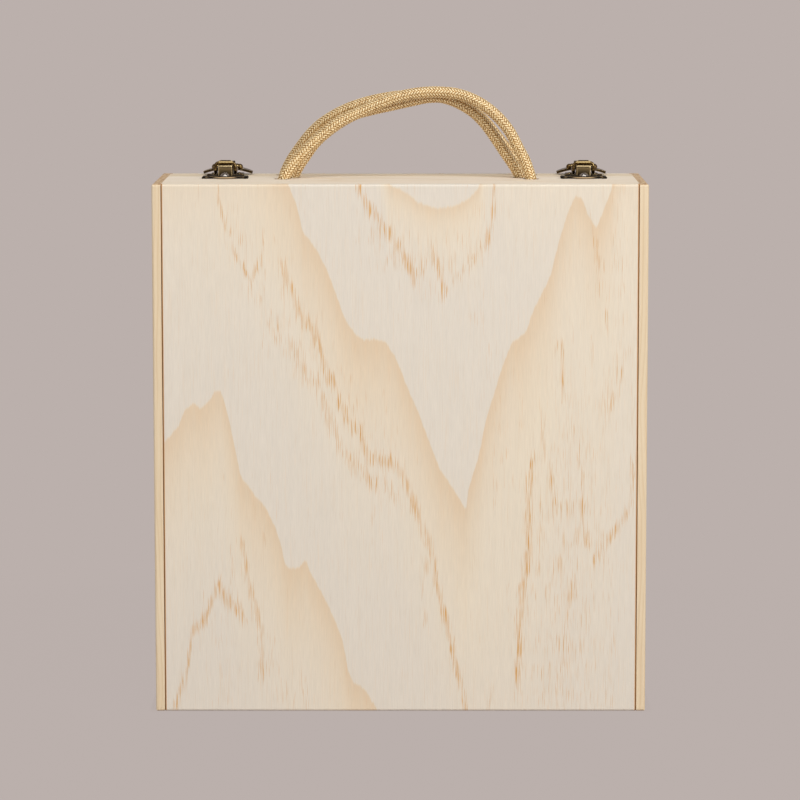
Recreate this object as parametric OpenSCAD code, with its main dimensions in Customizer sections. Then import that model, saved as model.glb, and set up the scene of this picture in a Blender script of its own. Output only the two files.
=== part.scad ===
// Wooden case for three bottles: a deep body at the front, a shallow lid at the back that is
// hinged at its foot, two toggle latches on top and three braided rope loops to carry it by.
// The case stands on its bottom. +Z is up and the front face looks along -Y.

/* [Case] */
// Width over the two sides
box_w = 327; // [280:1:420]
// Height as it stands
box_h = 353; // [320:1:420]
// Depth of the body, from the front face to the seam
body_d = 72; // [70:1:110]
// Depth of the lid, from the seam to the back face
lid_d = 28; // [27:1:45]
// Open seam between body and lid
seam_gap = 0.5; // [0.3:0.1:1]
// Radius of the eased outer edges
edge_r = 1.5; // [0.8:0.1:3]
// Radius of the eased edges along the seam
seam_r = 0.6; // [0.3:0.1:1]

/* [Boards] */
// Thickness of the side boards
side_t = 6; // [5:0.5:10]
// Thickness of the front and back panels
panel_t = 6; // [4:0.5:8]
// Thickness of the top and bottom boards
board_t = 9; // [8.8:0.2:12]
// Width of the fine groove between the show face of a panel and the sides
panel_groove_w = 0.7; // [0.4:0.1:1.2]
// Depth of that groove
panel_groove_d = 2.2; // [1:0.1:3]
// Thickness of the two dividers between the bottles
divider_t = 6; // [4:0.5:8]
// How far the dividers stop short of the seam
divider_inset = 8; // [2:1:20]

/* [Hinges] */
// Distance of each hinge from the middle of the case
hinge_x = 105; // [75:1:120]
// Length of a hinge along the seam
hinge_len = 30; // [24:1:40]
// Radius of the hinge barrel
barrel_r = 2; // [1.7:0.1:2.1]
// Height of the hinge axis over the foot of the case
axis_z = 2.2; // [2.15:0.05:2.3]
// Radius of the hinge pins
hinge_pin_r = 0.9; // [0.7:0.1:1.1]
// Thickness of a hinge leaf
leaf_t = 1; // [0.8:0.1:1.2]
// Slope of the two chamfers that meet in the groove at the foot of the seam
groove_angle = 53; // [51:1:58]

/* [Latches] */
// Distance of each latch from the middle of the pair
latch_x = 120.5; // [112:0.5:128]
// How far the pair of latches sits right of the middle of the case
latch_shift = 2.5; // [0:0.5:4]
// Width of the hook plate
hook_plate_w = 31; // [28:1:36]
// Thickness of the hook plate
hook_plate_t = 1.6; // [1.2:0.1:2.4]
// Width of the hook
hook_w = 9.4; // [7:0.1:10.2]
// Height of the shelf of the hook over the case
hook_h = 9; // [8:0.1:9.5]
// Thickness of the bent strip of the hook
hook_t = 1.1; // [0.9:0.1:1.3]
// Diameter of the wire of the bail
bail_wire = 2.3; // [1.8:0.1:2.4]
// Width of the bail over its wires
bail_w = 15.6; // [15.4:0.1:16.4]
// Width of the wide end of the lever
lever_w = 34; // [30:1:37]
// Thickness of the sheet of the lever
lever_t = 1.1; // [0.9:0.1:1.3]
// Radius of the latch pins
latch_pin_r = 1; // [0.8:0.1:1.1]

/* [Ropes] */
// Diameter of the braided rope
rope_d = 7.6; // [6:0.1:8]
// Diameter of the rope holes
rope_hole_d = 11; // [10.6:0.1:12]
// How far the ropes sit right of the middle of the case
rope_shift = 4; // [0:0.5:4]
// Half the spacing of the holes of the front and rear ropes
outer_hole_x = 83.5; // [83:0.5:84]
// Half the spacing of the holes of the middle rope
inner_hole_x = 77; // [76.5:0.5:77.5]
// Distance of the front rope before the seam
front_rope_set = 24; // [23.5:0.5:24.5]
// Distance of the middle rope before the seam
middle_rope_set = 10; // [9.5:0.5:10.5]
// Distance of the rear rope behind the seam
rear_rope_set = 12; // [11.5:0.5:12.5]
// Radius of the stopper knots
knot_r = 7.3; // [6:0.1:7.4]
// Height of the stopper knots
knot_h = 15; // [12:0.5:18]

/* [Hidden] */

$fn = 48;
LEFT = -1;
RIGHT = 1;

// Colours of the finishes
pine = [0.88, 0.80, 0.68];
pine_edge = [0.87, 0.77, 0.63];
antique = [0.34, 0.27, 0.17];
worn_brass = [0.62, 0.50, 0.30];
steel = [0.78, 0.77, 0.75];
gold_cord = [0.83, 0.68, 0.42];

// Case, measured from the front face backwards
box_d = body_d + lid_d;
seam_y = body_d;
body_back = seam_y - seam_gap / 2;
lid_front = seam_y + seam_gap / 2;
inner_w = box_w - 2 * side_t;
inner_h = box_h - 2 * board_t;
cell_w = (inner_w - 2 * divider_t) / 3;
divider_x = (cell_w + divider_t) / 2;
divider_d = body_d - panel_t - divider_inset;

// Fits
run_fit = 0.05;
seat_fit = 0.05;
// Overrun of a cut past the face that it opens
over = 1;

// Hinges
groove_h = axis_z + 0.3;
groove_w = groove_h * tan(groove_angle);
barrel_fit = 0.2;
leaf_gap = 0.1;
leaf_top = board_t - 0.5;
knuckle_len = hinge_len / 3;
knuckle_gap = 0.15;
hinge_screw_r = 0.8;
hinge_screw_len = 7;
hinge_head_r = 1.7;
hinge_head_h = 0.8;
hinge_screw_x = hinge_len / 2 - 5;
hinge_screw_z = (axis_z + barrel_r + barrel_fit + leaf_top) / 2;

// Hook plate, with its distances before the seam
hook_screw_set = 21.7;
hook_plate_set = 17;
hook_set = 18;
wing_screw_set = 14.5;
hook_screw_y = seam_y - hook_screw_set;
hook_plate_y = seam_y - hook_plate_set;
hook_front_y = seam_y - hook_set;
wing_screw_y = seam_y - wing_screw_set;
dome_r = 3.3;
dome_h = 2.6;
dome_shank_r = 1.3;
dome_shank_len = 8;
wing_screw_x = 11;
screw_head_r = 1.8;
screw_head_h = 1.1;
screw_shank_r = 0.9;
screw_shank_len = 6;

// Bar of the bail on the shelf of the hook
bail_r = bail_wire / 2;
bar_lift = 0.1;
bar_slack = 0.4;
bar_y = hook_front_y + hook_t + 0.2 + bail_r;
bar_z = hook_h + bar_lift + bail_r;
horn_y = bar_y + bail_r + bar_slack;
horn_h = bar_z + bail_r + 0.2;
bend_r = 2.6;

// Lever and its two pivots, with heights over the top of the case
lever_pivot_set = 4;
lever_pivot_h = 7.2;
bail_pivot_set = 9;
bail_pivot_h = 5.8;
lever_pivot = [seam_y + lever_pivot_set, lever_pivot_h];
bail_pivot = [seam_y + bail_pivot_set, bail_pivot_h];
bail_leg_x = bail_w / 2 - bail_r;
bail_eye_r = bail_r + 1.1;
bail_eye_t = bail_wire - 0.3;
// The run back to the eye is a hair thinner than the bend, so that it starts inside it
run_r = bail_r - 0.05;
run_lap = 0.3;
side_gap = 0.15;
lever_side_x = bail_leg_x - bail_r - side_gap;
lever_side_t = 0.9;
ear_x = lever_side_x - lever_side_t - 0.1;
ear_t = 1.1;
ear_r = 1.9;
ear_taper = 0.6;
ear_gap = 0.15;
cheek_r = 2.4;
// The top sheet of the lever starts a little behind its pivot and clears the ears when thrown over
crown_sheet_t = 0.85;
crown_start = 0.3;
crown_d = 4;
lever_crown = lever_pivot[1] + ear_r + ear_gap + crown_sheet_t;
leaf_front_set = 12.5;
leaf_d = 12;
leaf_front_y = seam_y + leaf_front_set;
leaf_back_y = leaf_front_y + leaf_d;
leaf_bend_r = 38;
leaf_mid_h = 5.2;
leaf_corner_r = 3;
pin_head_r = 2.1;
elbow = [bar_y + bend_r, hook_plate_t + 0.6 + bail_r + bend_r];
elbow_way = bail_pivot - elbow;
run_len = sqrt(elbow_way * elbow_way - bend_r * bend_r);
run_slope = atan(elbow_way[1] / elbow_way[0]) + atan(bend_r / run_len);

// Base plate of the latch
base_t = 1.2;
base_w = 22;
base_front_set = 1;
base_d = 19;
base_front_y = seam_y + base_front_set;
base_back_y = base_front_y + base_d;
base_corner_r = 2.5;
base_side_screw_x = 8.2;
base_side_screw_set = 7;
base_rear_screw_set = 16;
base_side_screw = [base_side_screw_x, seam_y + base_side_screw_set];
base_rear_screw_y = seam_y + base_rear_screw_set;

// Ropes: each route runs from knot to knot, from the left to the right. x is measured from the
// middle of the pair of holes, y from the seam and z from the top of the case.
rope_r = rope_d / 2;
rope_sides = 10;
knot_core_r = knot_r * 0.55;
knot_turn_r = (knot_h / 3 + 0.6) / 2;
front_route = [
    [-84.5, -24, -9], [-83.8, -24, -4.5], [-82.2, -24, 0.5], [-78, -23.5, 7.5], [-71.5, -23, 15],
    [-65, -22.5, 22], [-58, -22, 28], [-51.5, -22, 33.5], [-45, -21.5, 38], [-31.5, -21, 44.5],
    [-18, -21, 50.5], [-4.5, -21, 55], [9, -21, 57.5], [22.5, -21, 58], [35, -21, 56.5],
    [42.5, -21.5, 54], [49.5, -21.5, 50.5], [56, -22, 46], [62.5, -22.5, 40], [68.5, -22.5, 32.5],
    [75.5, -23, 19.5], [79, -23.5, 13], [81.5, -24, 6.5], [83.2, -24, 0.5], [84.2, -24, -4.5],
    [84.5, -24, -9]];
middle_route = [
    [-78, -10, -9], [-77.6, -10, -4.5], [-76.4, -10, 0], [-74, -10.5, 5.5], [-68.5, -11, 14],
    [-61.5, -11, 23.5], [-52, -11.5, 32], [-41.5, -11.5, 39], [-33.5, -12, 43], [-24.5, -12, 45.5],
    [-11, -12, 48.5], [2.5, -12, 51.5], [15.5, -12, 54], [23, -12, 54], [30.5, -12, 52],
    [38, -12, 48.5], [45.5, -11.5, 43.5], [52.5, -11.5, 36.5], [59.5, -11.5, 27], [66.5, -11, 16.5],
    [72, -10.5, 8.5], [75.8, -10, 1.8], [77.5, -10, -3.5], [78, -10, -9]];
rear_route = [
    [-84.5, 12, -9], [-84, 12, -4.5], [-83.2, 11.9, 0], [-81, 11, 5.5], [-77.5, 9.2, 11.8],
    [-72.5, 7, 19], [-66, 4, 27.5], [-59, 2, 34.5], [-52, 0, 39.5], [-45, -1.5, 43.5],
    [-38.5, -2.5, 46.5], [-31.5, -3, 49], [-18, -4, 52.5], [-4.5, -4, 54.5], [5.5, -4, 55],
    [16, -4, 55], [26, -3.5, 53.5], [32.5, -3, 51.5], [39.5, -2.5, 48], [46.5, -1.5, 43],
    [53, 0, 37], [60, 2, 28.5], [67, 5, 19.5], [73, 7.8, 13], [78, 10.2, 7.5], [81.3, 11.5, 2.5],
    [83.2, 12, -2.5], [84, 12, -9]];

// Frame: everything below is drawn with y from the front face, and set here about the middle
module in_frame() {
    translate([0, -box_d / 2, 0]) children();
}

// A flat outline in depth and height, given its thickness along the width
module along_width(x_from, x_to) {
    translate([x_from, 0, 0])
        rotate([90, 0, 90])
            linear_extrude(x_to - x_from) children();
}

// A flat outline in width and height, given its thickness along the depth
module along_depth(y_from, y_to) {
    translate([0, y_to, 0])
        rotate([90, 0, 0])
            linear_extrude(y_to - y_from) children();
}

// The waste outside a quarter round, for the corner at the origin of the square
module corner_waste(r) {
    difference() {
        translate([-over, -over]) square(r + over);
        translate([r, r]) circle(r);
    }
}

// Rectangle from low to high, with its corner radii in the order low left, low right, top right, top left
module eased_rect(low, high, radii) {
    size = high - low;
    translate(low) difference() {
        square(size);
        corner_waste(radii[0]);
        translate([size[0], 0]) mirror([1, 0]) corner_waste(radii[1]);
        translate(size) mirror([1, 0]) mirror([0, 1]) corner_waste(radii[2]);
        translate([0, size[1]]) mirror([0, 1]) corner_waste(radii[3]);
    }
}

// Outer shape of the body or of the lid, with its eased edges
module shell_form(y_from, y_to, front_r, back_r) {
    intersection() {
        linear_extrude(box_h)
            eased_rect([-box_w / 2, y_from], [box_w / 2, y_to], [front_r, front_r, back_r, back_r]);
        along_width(-box_w / 2, box_w / 2)
            eased_rect([y_from, 0], [y_to, box_h], [front_r, back_r, back_r, front_r]);
        along_depth(y_from, y_to)
            eased_rect([-box_w / 2, 0], [box_w / 2, box_h], [edge_r, edge_r, edge_r, edge_r]);
    }
}

// Groove along the foot of the seam, in which the hinge barrels lie
module seam_groove() {
    along_width(-box_w / 2 - over, box_w / 2 + over)
        polygon([[seam_y - groove_w - over * tan(groove_angle), -over], [seam_y, groove_h],
                 [seam_y + groove_w + over * tan(groove_angle), -over]]);
}

// One board of the body: the given block, cut to the outer shape of the body
module body_board(low, high) {
    difference() {
        intersection() {
            shell_form(0, body_back, edge_r, seam_r);
            translate(low) cube(high - low);
        }
        seam_groove();
    }
}

// One board of the lid
module lid_board(low, high) {
    difference() {
        intersection() {
            shell_form(lid_front, box_d, seam_r, edge_r);
            translate(low) cube(high - low);
        }
        seam_groove();
    }
}

// Waste beside a panel's long arrises, for a panel whose show face lies at y and looks towards out
module panel_grooves(y, out) {
    for (side = [LEFT, RIGHT])
        translate([side * inner_w / 2, y, -over])
            linear_extrude(box_h + 2 * over)
                polygon([[-side * panel_groove_w, 0], [0, -out * panel_groove_d],
                         [side * over, -out * panel_groove_d], [side * over, out * over],
                         [-side * panel_groove_w, out * over]]);
}

module front_panel() {
    color(pine) in_frame() difference() {
        body_board([-inner_w / 2, 0, 0], [inner_w / 2, panel_t, box_h]);
        panel_grooves(0, -1);
    }
}

module body_side(side) {
    x_low = side == LEFT ? -box_w / 2 : inner_w / 2;
    color(pine_edge) in_frame() body_board([x_low, 0, 0], [x_low + side_t, body_back, box_h]);
}

// A pair of rope holes, set behind the seam or, where set is negative, before it
module rope_holes(half_spacing, set) {
    for (side = [LEFT, RIGHT])
        translate([rope_shift + side * half_spacing, seam_y + set, box_h - board_t - over])
            cylinder(d = rope_hole_d, h = board_t + 2 * over);
}

module body_top_board() {
    color(pine_edge) in_frame() difference() {
        body_board([-inner_w / 2, panel_t, box_h - board_t], [inner_w / 2, body_back, box_h]);
        rope_holes(outer_hole_x, -front_rope_set);
        rope_holes(inner_hole_x, -middle_rope_set);
        at_latches() {
            screw_pilot([0, hook_screw_y], dome_shank_r, dome_shank_len);
            wing_screw_places() screw_pilot([0, 0], screw_shank_r, screw_shank_len);
        }
    }
}

module body_bottom_board() {
    color(pine_edge) in_frame() difference() {
        body_board([-inner_w / 2, panel_t, 0], [inner_w / 2, body_back, board_t]);
        at_hinges() hinge_seat(-1);
    }
}

module divider(side) {
    color(pine) in_frame()
        translate([side * divider_x - divider_t / 2, panel_t, board_t])
            cube([divider_t, divider_d, inner_h]);
}

module back_panel() {
    color(pine) in_frame() difference() {
        lid_board([-inner_w / 2, box_d - panel_t, 0], [inner_w / 2, box_d, box_h]);
        panel_grooves(box_d, 1);
    }
}

module lid_side(side) {
    x_low = side == LEFT ? -box_w / 2 : inner_w / 2;
    color(pine_edge) in_frame() lid_board([x_low, lid_front, 0], [x_low + side_t, box_d, box_h]);
}

module lid_top_board() {
    color(pine_edge) in_frame() difference() {
        lid_board([-inner_w / 2, lid_front, box_h - board_t], [inner_w / 2, box_d - panel_t, box_h]);
        rope_holes(outer_hole_x, rear_rope_set);
        at_latches() base_screw_places() screw_pilot([0, 0], screw_shank_r, screw_shank_len);
    }
}

module lid_bottom_board() {
    color(pine_edge) in_frame() difference() {
        lid_board([-inner_w / 2, lid_front, 0], [inner_w / 2, box_d - panel_t, board_t]);
        at_hinges() hinge_seat(1);
    }
}

// Hinges: way is -1 for the leaf on the body and 1 for the leaf on the lid

module at_hinge(side) {
    translate([side * hinge_x, seam_y, 0]) children();
}

module at_hinges() {
    for (side = [LEFT, RIGHT]) at_hinge(side) children();
}

module hinge_barrel(x_from, x_to, r) {
    translate([x_from, 0, axis_z])
        rotate([0, 90, 0]) cylinder(r = r, h = x_to - x_from);
}

module hinge_screw_places(way) {
    for (x = [-hinge_screw_x, hinge_screw_x])
        translate([x, way * leaf_gap, hinge_screw_z]) rotate([-way * 90, 0, 0]) children();
}

// Pocket in the board for a leaf, its barrel and its screws
module hinge_seat(way) {
    half = hinge_len / 2 + seat_fit;
    y_deep = leaf_gap + leaf_t + seat_fit;
    translate([-half, way > 0 ? 0 : -y_deep, 0]) cube([2 * half, y_deep, leaf_top + seat_fit]);
    hinge_barrel(-half, half, barrel_r + barrel_fit);
    hinge_screw_places(way) cylinder(r = hinge_screw_r, h = leaf_t + hinge_screw_len);
}

module hinge_leaf(way) {
    knuckle_half = knuckle_len / 2;
    half = hinge_len / 2;
    difference() {
        union() {
            translate([-half, way > 0 ? leaf_gap : -leaf_gap - leaf_t, axis_z])
                cube([hinge_len, leaf_t, leaf_top - axis_z]);
            if (way > 0) hinge_barrel(-knuckle_half, knuckle_half, barrel_r);
            if (way < 0) hinge_barrel(-half, -knuckle_half - knuckle_gap, barrel_r);
            if (way < 0) hinge_barrel(knuckle_half + knuckle_gap, half, barrel_r);
        }
        if (way < 0)
            hinge_barrel(-knuckle_half - knuckle_gap, knuckle_half + knuckle_gap, barrel_r + barrel_fit);
        if (way > 0) hinge_barrel(-half - over, -knuckle_half, barrel_r + barrel_fit);
        if (way > 0) hinge_barrel(knuckle_half, half + over, barrel_r + barrel_fit);
        hinge_barrel(-half - over, half + over, hinge_pin_r + run_fit);
        hinge_screw_places(way) hinge_screw_form();
    }
}

module hinge_screw_form() {
    cylinder(r1 = hinge_head_r, r2 = hinge_screw_r, h = hinge_head_h);
    cylinder(r = hinge_screw_r, h = leaf_t + hinge_screw_len);
}

module hinge_body_leaf(side) {
    color(antique) in_frame() at_hinge(side) hinge_leaf(-1);
}

module hinge_lid_leaf(side) {
    color(antique) in_frame() at_hinge(side) hinge_leaf(1);
}

module hinge_pin(side) {
    color(worn_brass) in_frame() at_hinge(side)
        hinge_barrel(-hinge_len / 2, hinge_len / 2, hinge_pin_r);
}

module hinge_screws(way) {
    color(worn_brass) in_frame() at_hinges() hinge_screw_places(way) hinge_screw_form();
}

// Latches

module at_latch(side) {
    translate([latch_shift + side * latch_x, 0, box_h]) children();
}

module at_latches() {
    for (side = [LEFT, RIGHT]) at_latch(side) children();
}

// Hole for the shank of a screw that goes down from the top of the case
module screw_pilot(place, r, length) {
    translate([place[0], place[1], -length]) cylinder(r = r, h = length + over);
}

module wing_screw_places() {
    for (side = [LEFT, RIGHT]) translate([side * wing_screw_x, wing_screw_y, 0]) children();
}

module base_screw_places() {
    for (side = [LEFT, RIGHT]) translate([side * base_side_screw[0], base_side_screw[1], 0]) children();
    translate([0, base_rear_screw_y, 0]) children();
}

// Outline of the hook plate: a wide bar with scooped edges and a round lobe under the big screw
module hook_plate_outline() {
    wing = hook_plate_w / 2;
    difference() {
        union() {
            eased_rect([-wing, hook_plate_y - 7.5], [wing, hook_plate_y + 7], [2, 2, 2, 2]);
            translate([0, hook_screw_y + 3]) circle(6.6);
        }
        for (side = [LEFT, RIGHT]) {
            translate([side * (wing - 4), hook_plate_y - 14]) circle(8.4);
            translate([side * (wing - 6), hook_plate_y + 13]) circle(8.2);
        }
    }
}

// Bent strip seen from its end: up from the plate, back as a shelf, and up again behind the bar
module hook_outline() {
    translate([hook_front_y, 0]) square([hook_t, hook_h - hook_t]);
    translate([hook_front_y + hook_t, hook_h - hook_t]) difference() {
        circle(hook_t);
        translate([0, -hook_t]) square(2 * hook_t);
        translate([-2 * hook_t, -2 * hook_t]) square([4 * hook_t, 2 * hook_t]);
    }
    translate([hook_front_y + hook_t, hook_h - hook_t]) square([horn_y - hook_front_y, hook_t]);
    translate([horn_y, hook_h - hook_t]) square([hook_t, horn_h - hook_h + hook_t / 2]);
    translate([horn_y + hook_t / 2, horn_h - hook_t / 2]) circle(hook_t / 2);
}

module hook_plate(side) {
    color(antique) in_frame() at_latch(side) difference() {
        union() {
            linear_extrude(hook_plate_t) hook_plate_outline();
            along_width(-hook_w / 2, hook_w / 2) hook_outline();
        }
        translate([0, hook_screw_y, -over]) cylinder(r = dome_shank_r, h = hook_plate_t + 2 * over);
        wing_screw_places() translate([0, 0, -over])
            cylinder(r = screw_shank_r, h = hook_plate_t + 2 * over);
    }
}

// A domed head on its shank, with the flat of the head at the origin
module domed_screw(head_r, head_h, shank_r, shank_len) {
    ball_r = (head_r * head_r + head_h * head_h) / (2 * head_h);
    intersection() {
        translate([0, 0, head_h - ball_r]) sphere(ball_r);
        cylinder(r = head_r, h = head_h);
    }
    translate([0, 0, -shank_len]) cylinder(r = shank_r, h = shank_len);
}

module hook_dome_screws() {
    color(steel) in_frame() at_latches() translate([0, hook_screw_y, hook_plate_t])
        domed_screw(dome_r, dome_h, dome_shank_r, dome_shank_len);
}

module hook_small_screws() {
    color(worn_brass) in_frame() at_latches() wing_screw_places() translate([0, 0, hook_plate_t])
        domed_screw(screw_head_r, screw_head_h, screw_shank_r, screw_shank_len);
}

module latch_base_screws() {
    color(worn_brass) in_frame() at_latches() base_screw_places() translate([0, 0, base_t])
        domed_screw(screw_head_r, screw_head_h, screw_shank_r, screw_shank_len);
}

module latch_pin_bore(place, half_len) {
    translate([-half_len, place[0], place[1]])
        rotate([0, 90, 0]) cylinder(r = latch_pin_r + run_fit, h = 2 * half_len);
}

// Base plate with the two ears that carry the lever
module latch_base(side) {
    base_round = [base_corner_r, base_corner_r, base_corner_r, base_corner_r];
    color(antique) in_frame() at_latch(side) difference() {
        union() {
            linear_extrude(base_t)
                eased_rect([-base_w / 2, base_front_y], [base_w / 2, base_back_y], base_round);
            for (way = [LEFT, RIGHT])
                along_width(way < 0 ? -ear_x : ear_x - ear_t, way < 0 ? -ear_x + ear_t : ear_x) {
                    translate([lever_pivot[0] - ear_r + ear_taper, 0])
                        square([2 * (ear_r - ear_taper), lever_pivot[1]]);
                    translate(lever_pivot) circle(ear_r);
                }
        }
        latch_pin_bore(lever_pivot, base_w);
        base_screw_places() translate([0, 0, -over]) cylinder(r = screw_shank_r, h = base_t + 2 * over);
    }
}

// Cheek of the lever seen from its side, with both pivots
module lever_cheek() {
    translate(lever_pivot) circle(cheek_r);
    translate(bail_pivot) circle(cheek_r);
    polygon([[lever_pivot[0], lever_pivot[1]], [lever_pivot[0] + crown_start, lever_crown - 0.1],
             [lever_pivot[0] + crown_d, lever_crown - 0.1], [leaf_front_y + 1, leaf_mid_h - 0.1],
             [leaf_front_y + 1, leaf_mid_h - lever_t], [bail_pivot[0], bail_pivot[1] - cheek_r],
             [lever_pivot[0], lever_pivot[1] - cheek_r]]);
}

// Top of the lever from its side: flat over the pivots, then down to the wide end
module lever_top_outline() {
    start = lever_pivot[0] + crown_start;
    low = lever_crown - crown_sheet_t;
    polygon([[start, low], [start, lever_crown],
             [lever_pivot[0] + crown_d, lever_crown], [leaf_front_y + 1, leaf_mid_h],
             [leaf_front_y + 3, leaf_mid_h], [leaf_front_y + 3, leaf_mid_h - lever_t + 0.2],
             [leaf_front_y + 0.5, leaf_mid_h - lever_t + 0.2], [lever_pivot[0] + crown_d - 0.4, low]]);
}

// Wide end of the lever from above
module lever_leaf_outline() {
    wide = lever_w / 2;
    neck = lever_side_x;
    difference() {
        eased_rect([-wide, leaf_front_y], [wide, leaf_back_y],
                   [leaf_corner_r, leaf_corner_r, leaf_corner_r * 2, leaf_corner_r * 2]);
        for (side = [LEFT, RIGHT])
            translate([side * (neck + 6.5), leaf_front_y - 3.6]) circle(6.2);
    }
}

module lever(side) {
    color(antique) in_frame() at_latch(side) difference() {
        union() {
            for (way = [LEFT, RIGHT])
                along_width(way < 0 ? -lever_side_x : lever_side_x - lever_side_t,
                            way < 0 ? -lever_side_x + lever_side_t : lever_side_x) lever_cheek();
            along_width(-lever_side_x, lever_side_x) lever_top_outline();
            intersection() {
                linear_extrude(leaf_mid_h + over) lever_leaf_outline();
                translate([0, leaf_back_y, leaf_mid_h - leaf_bend_r]) rotate([90, 0, 0]) difference() {
                    cylinder(r = leaf_bend_r, h = leaf_d, $fn = 96);
                    translate([0, 0, -over])
                        cylinder(r = leaf_bend_r - lever_t, h = leaf_d + 2 * over, $fn = 96);
                }
            }
        }
        latch_pin_bore(lever_pivot, base_w);
        latch_pin_bore(bail_pivot, base_w);
    }
}

module lever_pin(side) {
    color(worn_brass) in_frame() at_latch(side)
        translate([-lever_side_x, lever_pivot[0], lever_pivot[1]])
            rotate([0, 90, 0]) cylinder(r = latch_pin_r, h = 2 * lever_side_x);
}

// Pin of the bail, with a ball at each end
module bail_pin(side) {
    head_x = bail_w / 2 + 0.1;
    color(worn_brass) in_frame() at_latch(side) translate([0, bail_pivot[0], bail_pivot[1]]) {
        translate([-head_x, 0, 0]) rotate([0, 90, 0]) cylinder(r = latch_pin_r, h = 2 * head_x);
        for (way = [LEFT, RIGHT]) intersection() {
            translate([way * head_x, 0, 0]) sphere(pin_head_r);
            translate([way > 0 ? head_x : -head_x - 2 * pin_head_r, -pin_head_r, -pin_head_r])
                cube(2 * pin_head_r);
        }
    }
}

// A quarter bend of the wire, from its low end at the side to its top end in the middle
module bail_corner(way) {
    translate([way * (bail_leg_x - bend_r), bar_y, bar_z - bend_r])
        rotate([90, 0, 0]) rotate([0, 0, way > 0 ? 0 : 90])
            rotate_extrude(angle = 90) translate([bend_r, 0]) circle(bail_r);
}

// Wire bail: over the hook, down beside it, round the elbows and back to the eyes
module bail_form() {
    for (way = [LEFT, RIGHT]) {
        bail_corner(way);
        translate([way * bail_leg_x, bar_y, elbow[1]])
            cylinder(r = bail_r, h = bar_z - bend_r - elbow[1]);
        translate([way * bail_leg_x, elbow[0], elbow[1]])
            rotate([90, 0, 90]) rotate([0, 0, 180])
                rotate_extrude(angle = 90 + run_slope) translate([bend_r, 0]) circle(bail_r);
        translate([way * bail_leg_x, elbow[0], elbow[1]])
            rotate([run_slope - 90, 0, 0]) translate([0, bend_r, -run_lap])
                cylinder(r = run_r, h = run_len + run_lap);
        translate([way * bail_leg_x - bail_eye_t / 2, bail_pivot[0], bail_pivot[1]])
            rotate([0, 90, 0]) cylinder(r = bail_eye_r, h = bail_eye_t);
    }
    translate([-(bail_leg_x - bend_r), bar_y, bar_z])
        rotate([0, 90, 0]) cylinder(r = bail_r, h = 2 * (bail_leg_x - bend_r));
}

module bail(side) {
    color(worn_brass) in_frame() at_latch(side) difference() {
        bail_form();
        latch_pin_bore(bail_pivot, base_w);
    }
}

// Ropes

function unit(v) = v / norm(v);
function route_way(p, i) =
    i == 0 ? [0, 0, 1] :
    i == len(p) - 1 ? [0, 0, -1] :
    unit(unit(p[i + 1] - p[i]) + unit(p[i] - p[i - 1]));

// One ring of points square to the route at point i
function ring_at(p, i, r, sides) =
    let (way = route_way(p, i), side = unit(cross(way, [0, 1, 0])), lift = cross(side, way))
    [for (k = [0:sides - 1]) p[i] + r * (cos(360 * k / sides) * side + sin(360 * k / sides) * lift)];

function wall_faces(rings, sides) =
    [for (i = [0:rings - 2], k = [0:sides - 1])
        let (a = i * sides + k, b = i * sides + (k + 1) % sides)
        each [[a, b, b + sides], [a, b + sides, a + sides]]];

// Round tube swept through the points of a route, closed by a flat face at each end
module swept_rope(route) {
    rings = len(route);
    points = [for (i = [0:rings - 1]) each ring_at(route, i, rope_r, rope_sides)];
    first = [for (k = [rope_sides - 1:-1:0]) k];
    last = [for (k = [0:rope_sides - 1]) (rings - 1) * rope_sides + k];
    polyhedron(points, concat([first], wall_faces(rings, rope_sides), [last]));
}

module rope(route) {
    color(gold_cord) in_frame() translate([rope_shift, seam_y, box_h]) swept_rope(route);
}

// Stopper knot of three turns, hanging under the end of the rope
module knot_form() {
    rotate_extrude() {
        translate([0, -knot_h]) square([knot_core_r, knot_h]);
        for (turn = [0:2])
            translate([knot_r - knot_turn_r, -knot_turn_r - turn * (knot_h - 2 * knot_turn_r) / 2])
                circle(knot_turn_r);
    }
}

module rope_knots(route) {
    ends = [route[0], route[len(route) - 1]];
    color(gold_cord) in_frame() translate([rope_shift, seam_y, box_h])
        for (end = ends) translate([end[0], end[1], -board_t]) knot_form();
}

front_panel();
body_side(LEFT);  // body_left_side
body_side(RIGHT);  // body_right_side
body_top_board();
body_bottom_board();
divider(LEFT);  // left_divider
divider(RIGHT);  // right_divider
back_panel();
lid_side(LEFT);  // lid_left_side
lid_side(RIGHT);  // lid_right_side
lid_top_board();
lid_bottom_board();
hinge_body_leaf(LEFT);  // left_hinge_body_leaf
hinge_lid_leaf(LEFT);  // left_hinge_lid_leaf
hinge_pin(LEFT);  // left_hinge_pin
hinge_body_leaf(RIGHT);  // right_hinge_body_leaf
hinge_lid_leaf(RIGHT);  // right_hinge_lid_leaf
hinge_pin(RIGHT);  // right_hinge_pin
hinge_screws(-1);  // body_hinge_screws
hinge_screws(1);  // lid_hinge_screws
hook_plate(LEFT);  // left_hook_plate
hook_plate(RIGHT);  // right_hook_plate
hook_dome_screws();
hook_small_screws();
latch_base(LEFT);  // left_latch_base
latch_base(RIGHT);  // right_latch_base
latch_base_screws();
lever(LEFT);  // left_lever
lever(RIGHT);  // right_lever
lever_pin(LEFT);  // left_lever_pin
lever_pin(RIGHT);  // right_lever_pin
bail(LEFT);  // left_bail
bail(RIGHT);  // right_bail
bail_pin(LEFT);  // left_bail_pin
bail_pin(RIGHT);  // right_bail_pin
rope(front_route);  // front_rope
rope(middle_route);  // middle_rope
rope(rear_route);  // rear_rope
rope_knots(front_route);  // front_rope_knots
rope_knots(middle_route);  // middle_rope_knots
rope_knots(rear_route);  // rear_rope_knots
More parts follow.
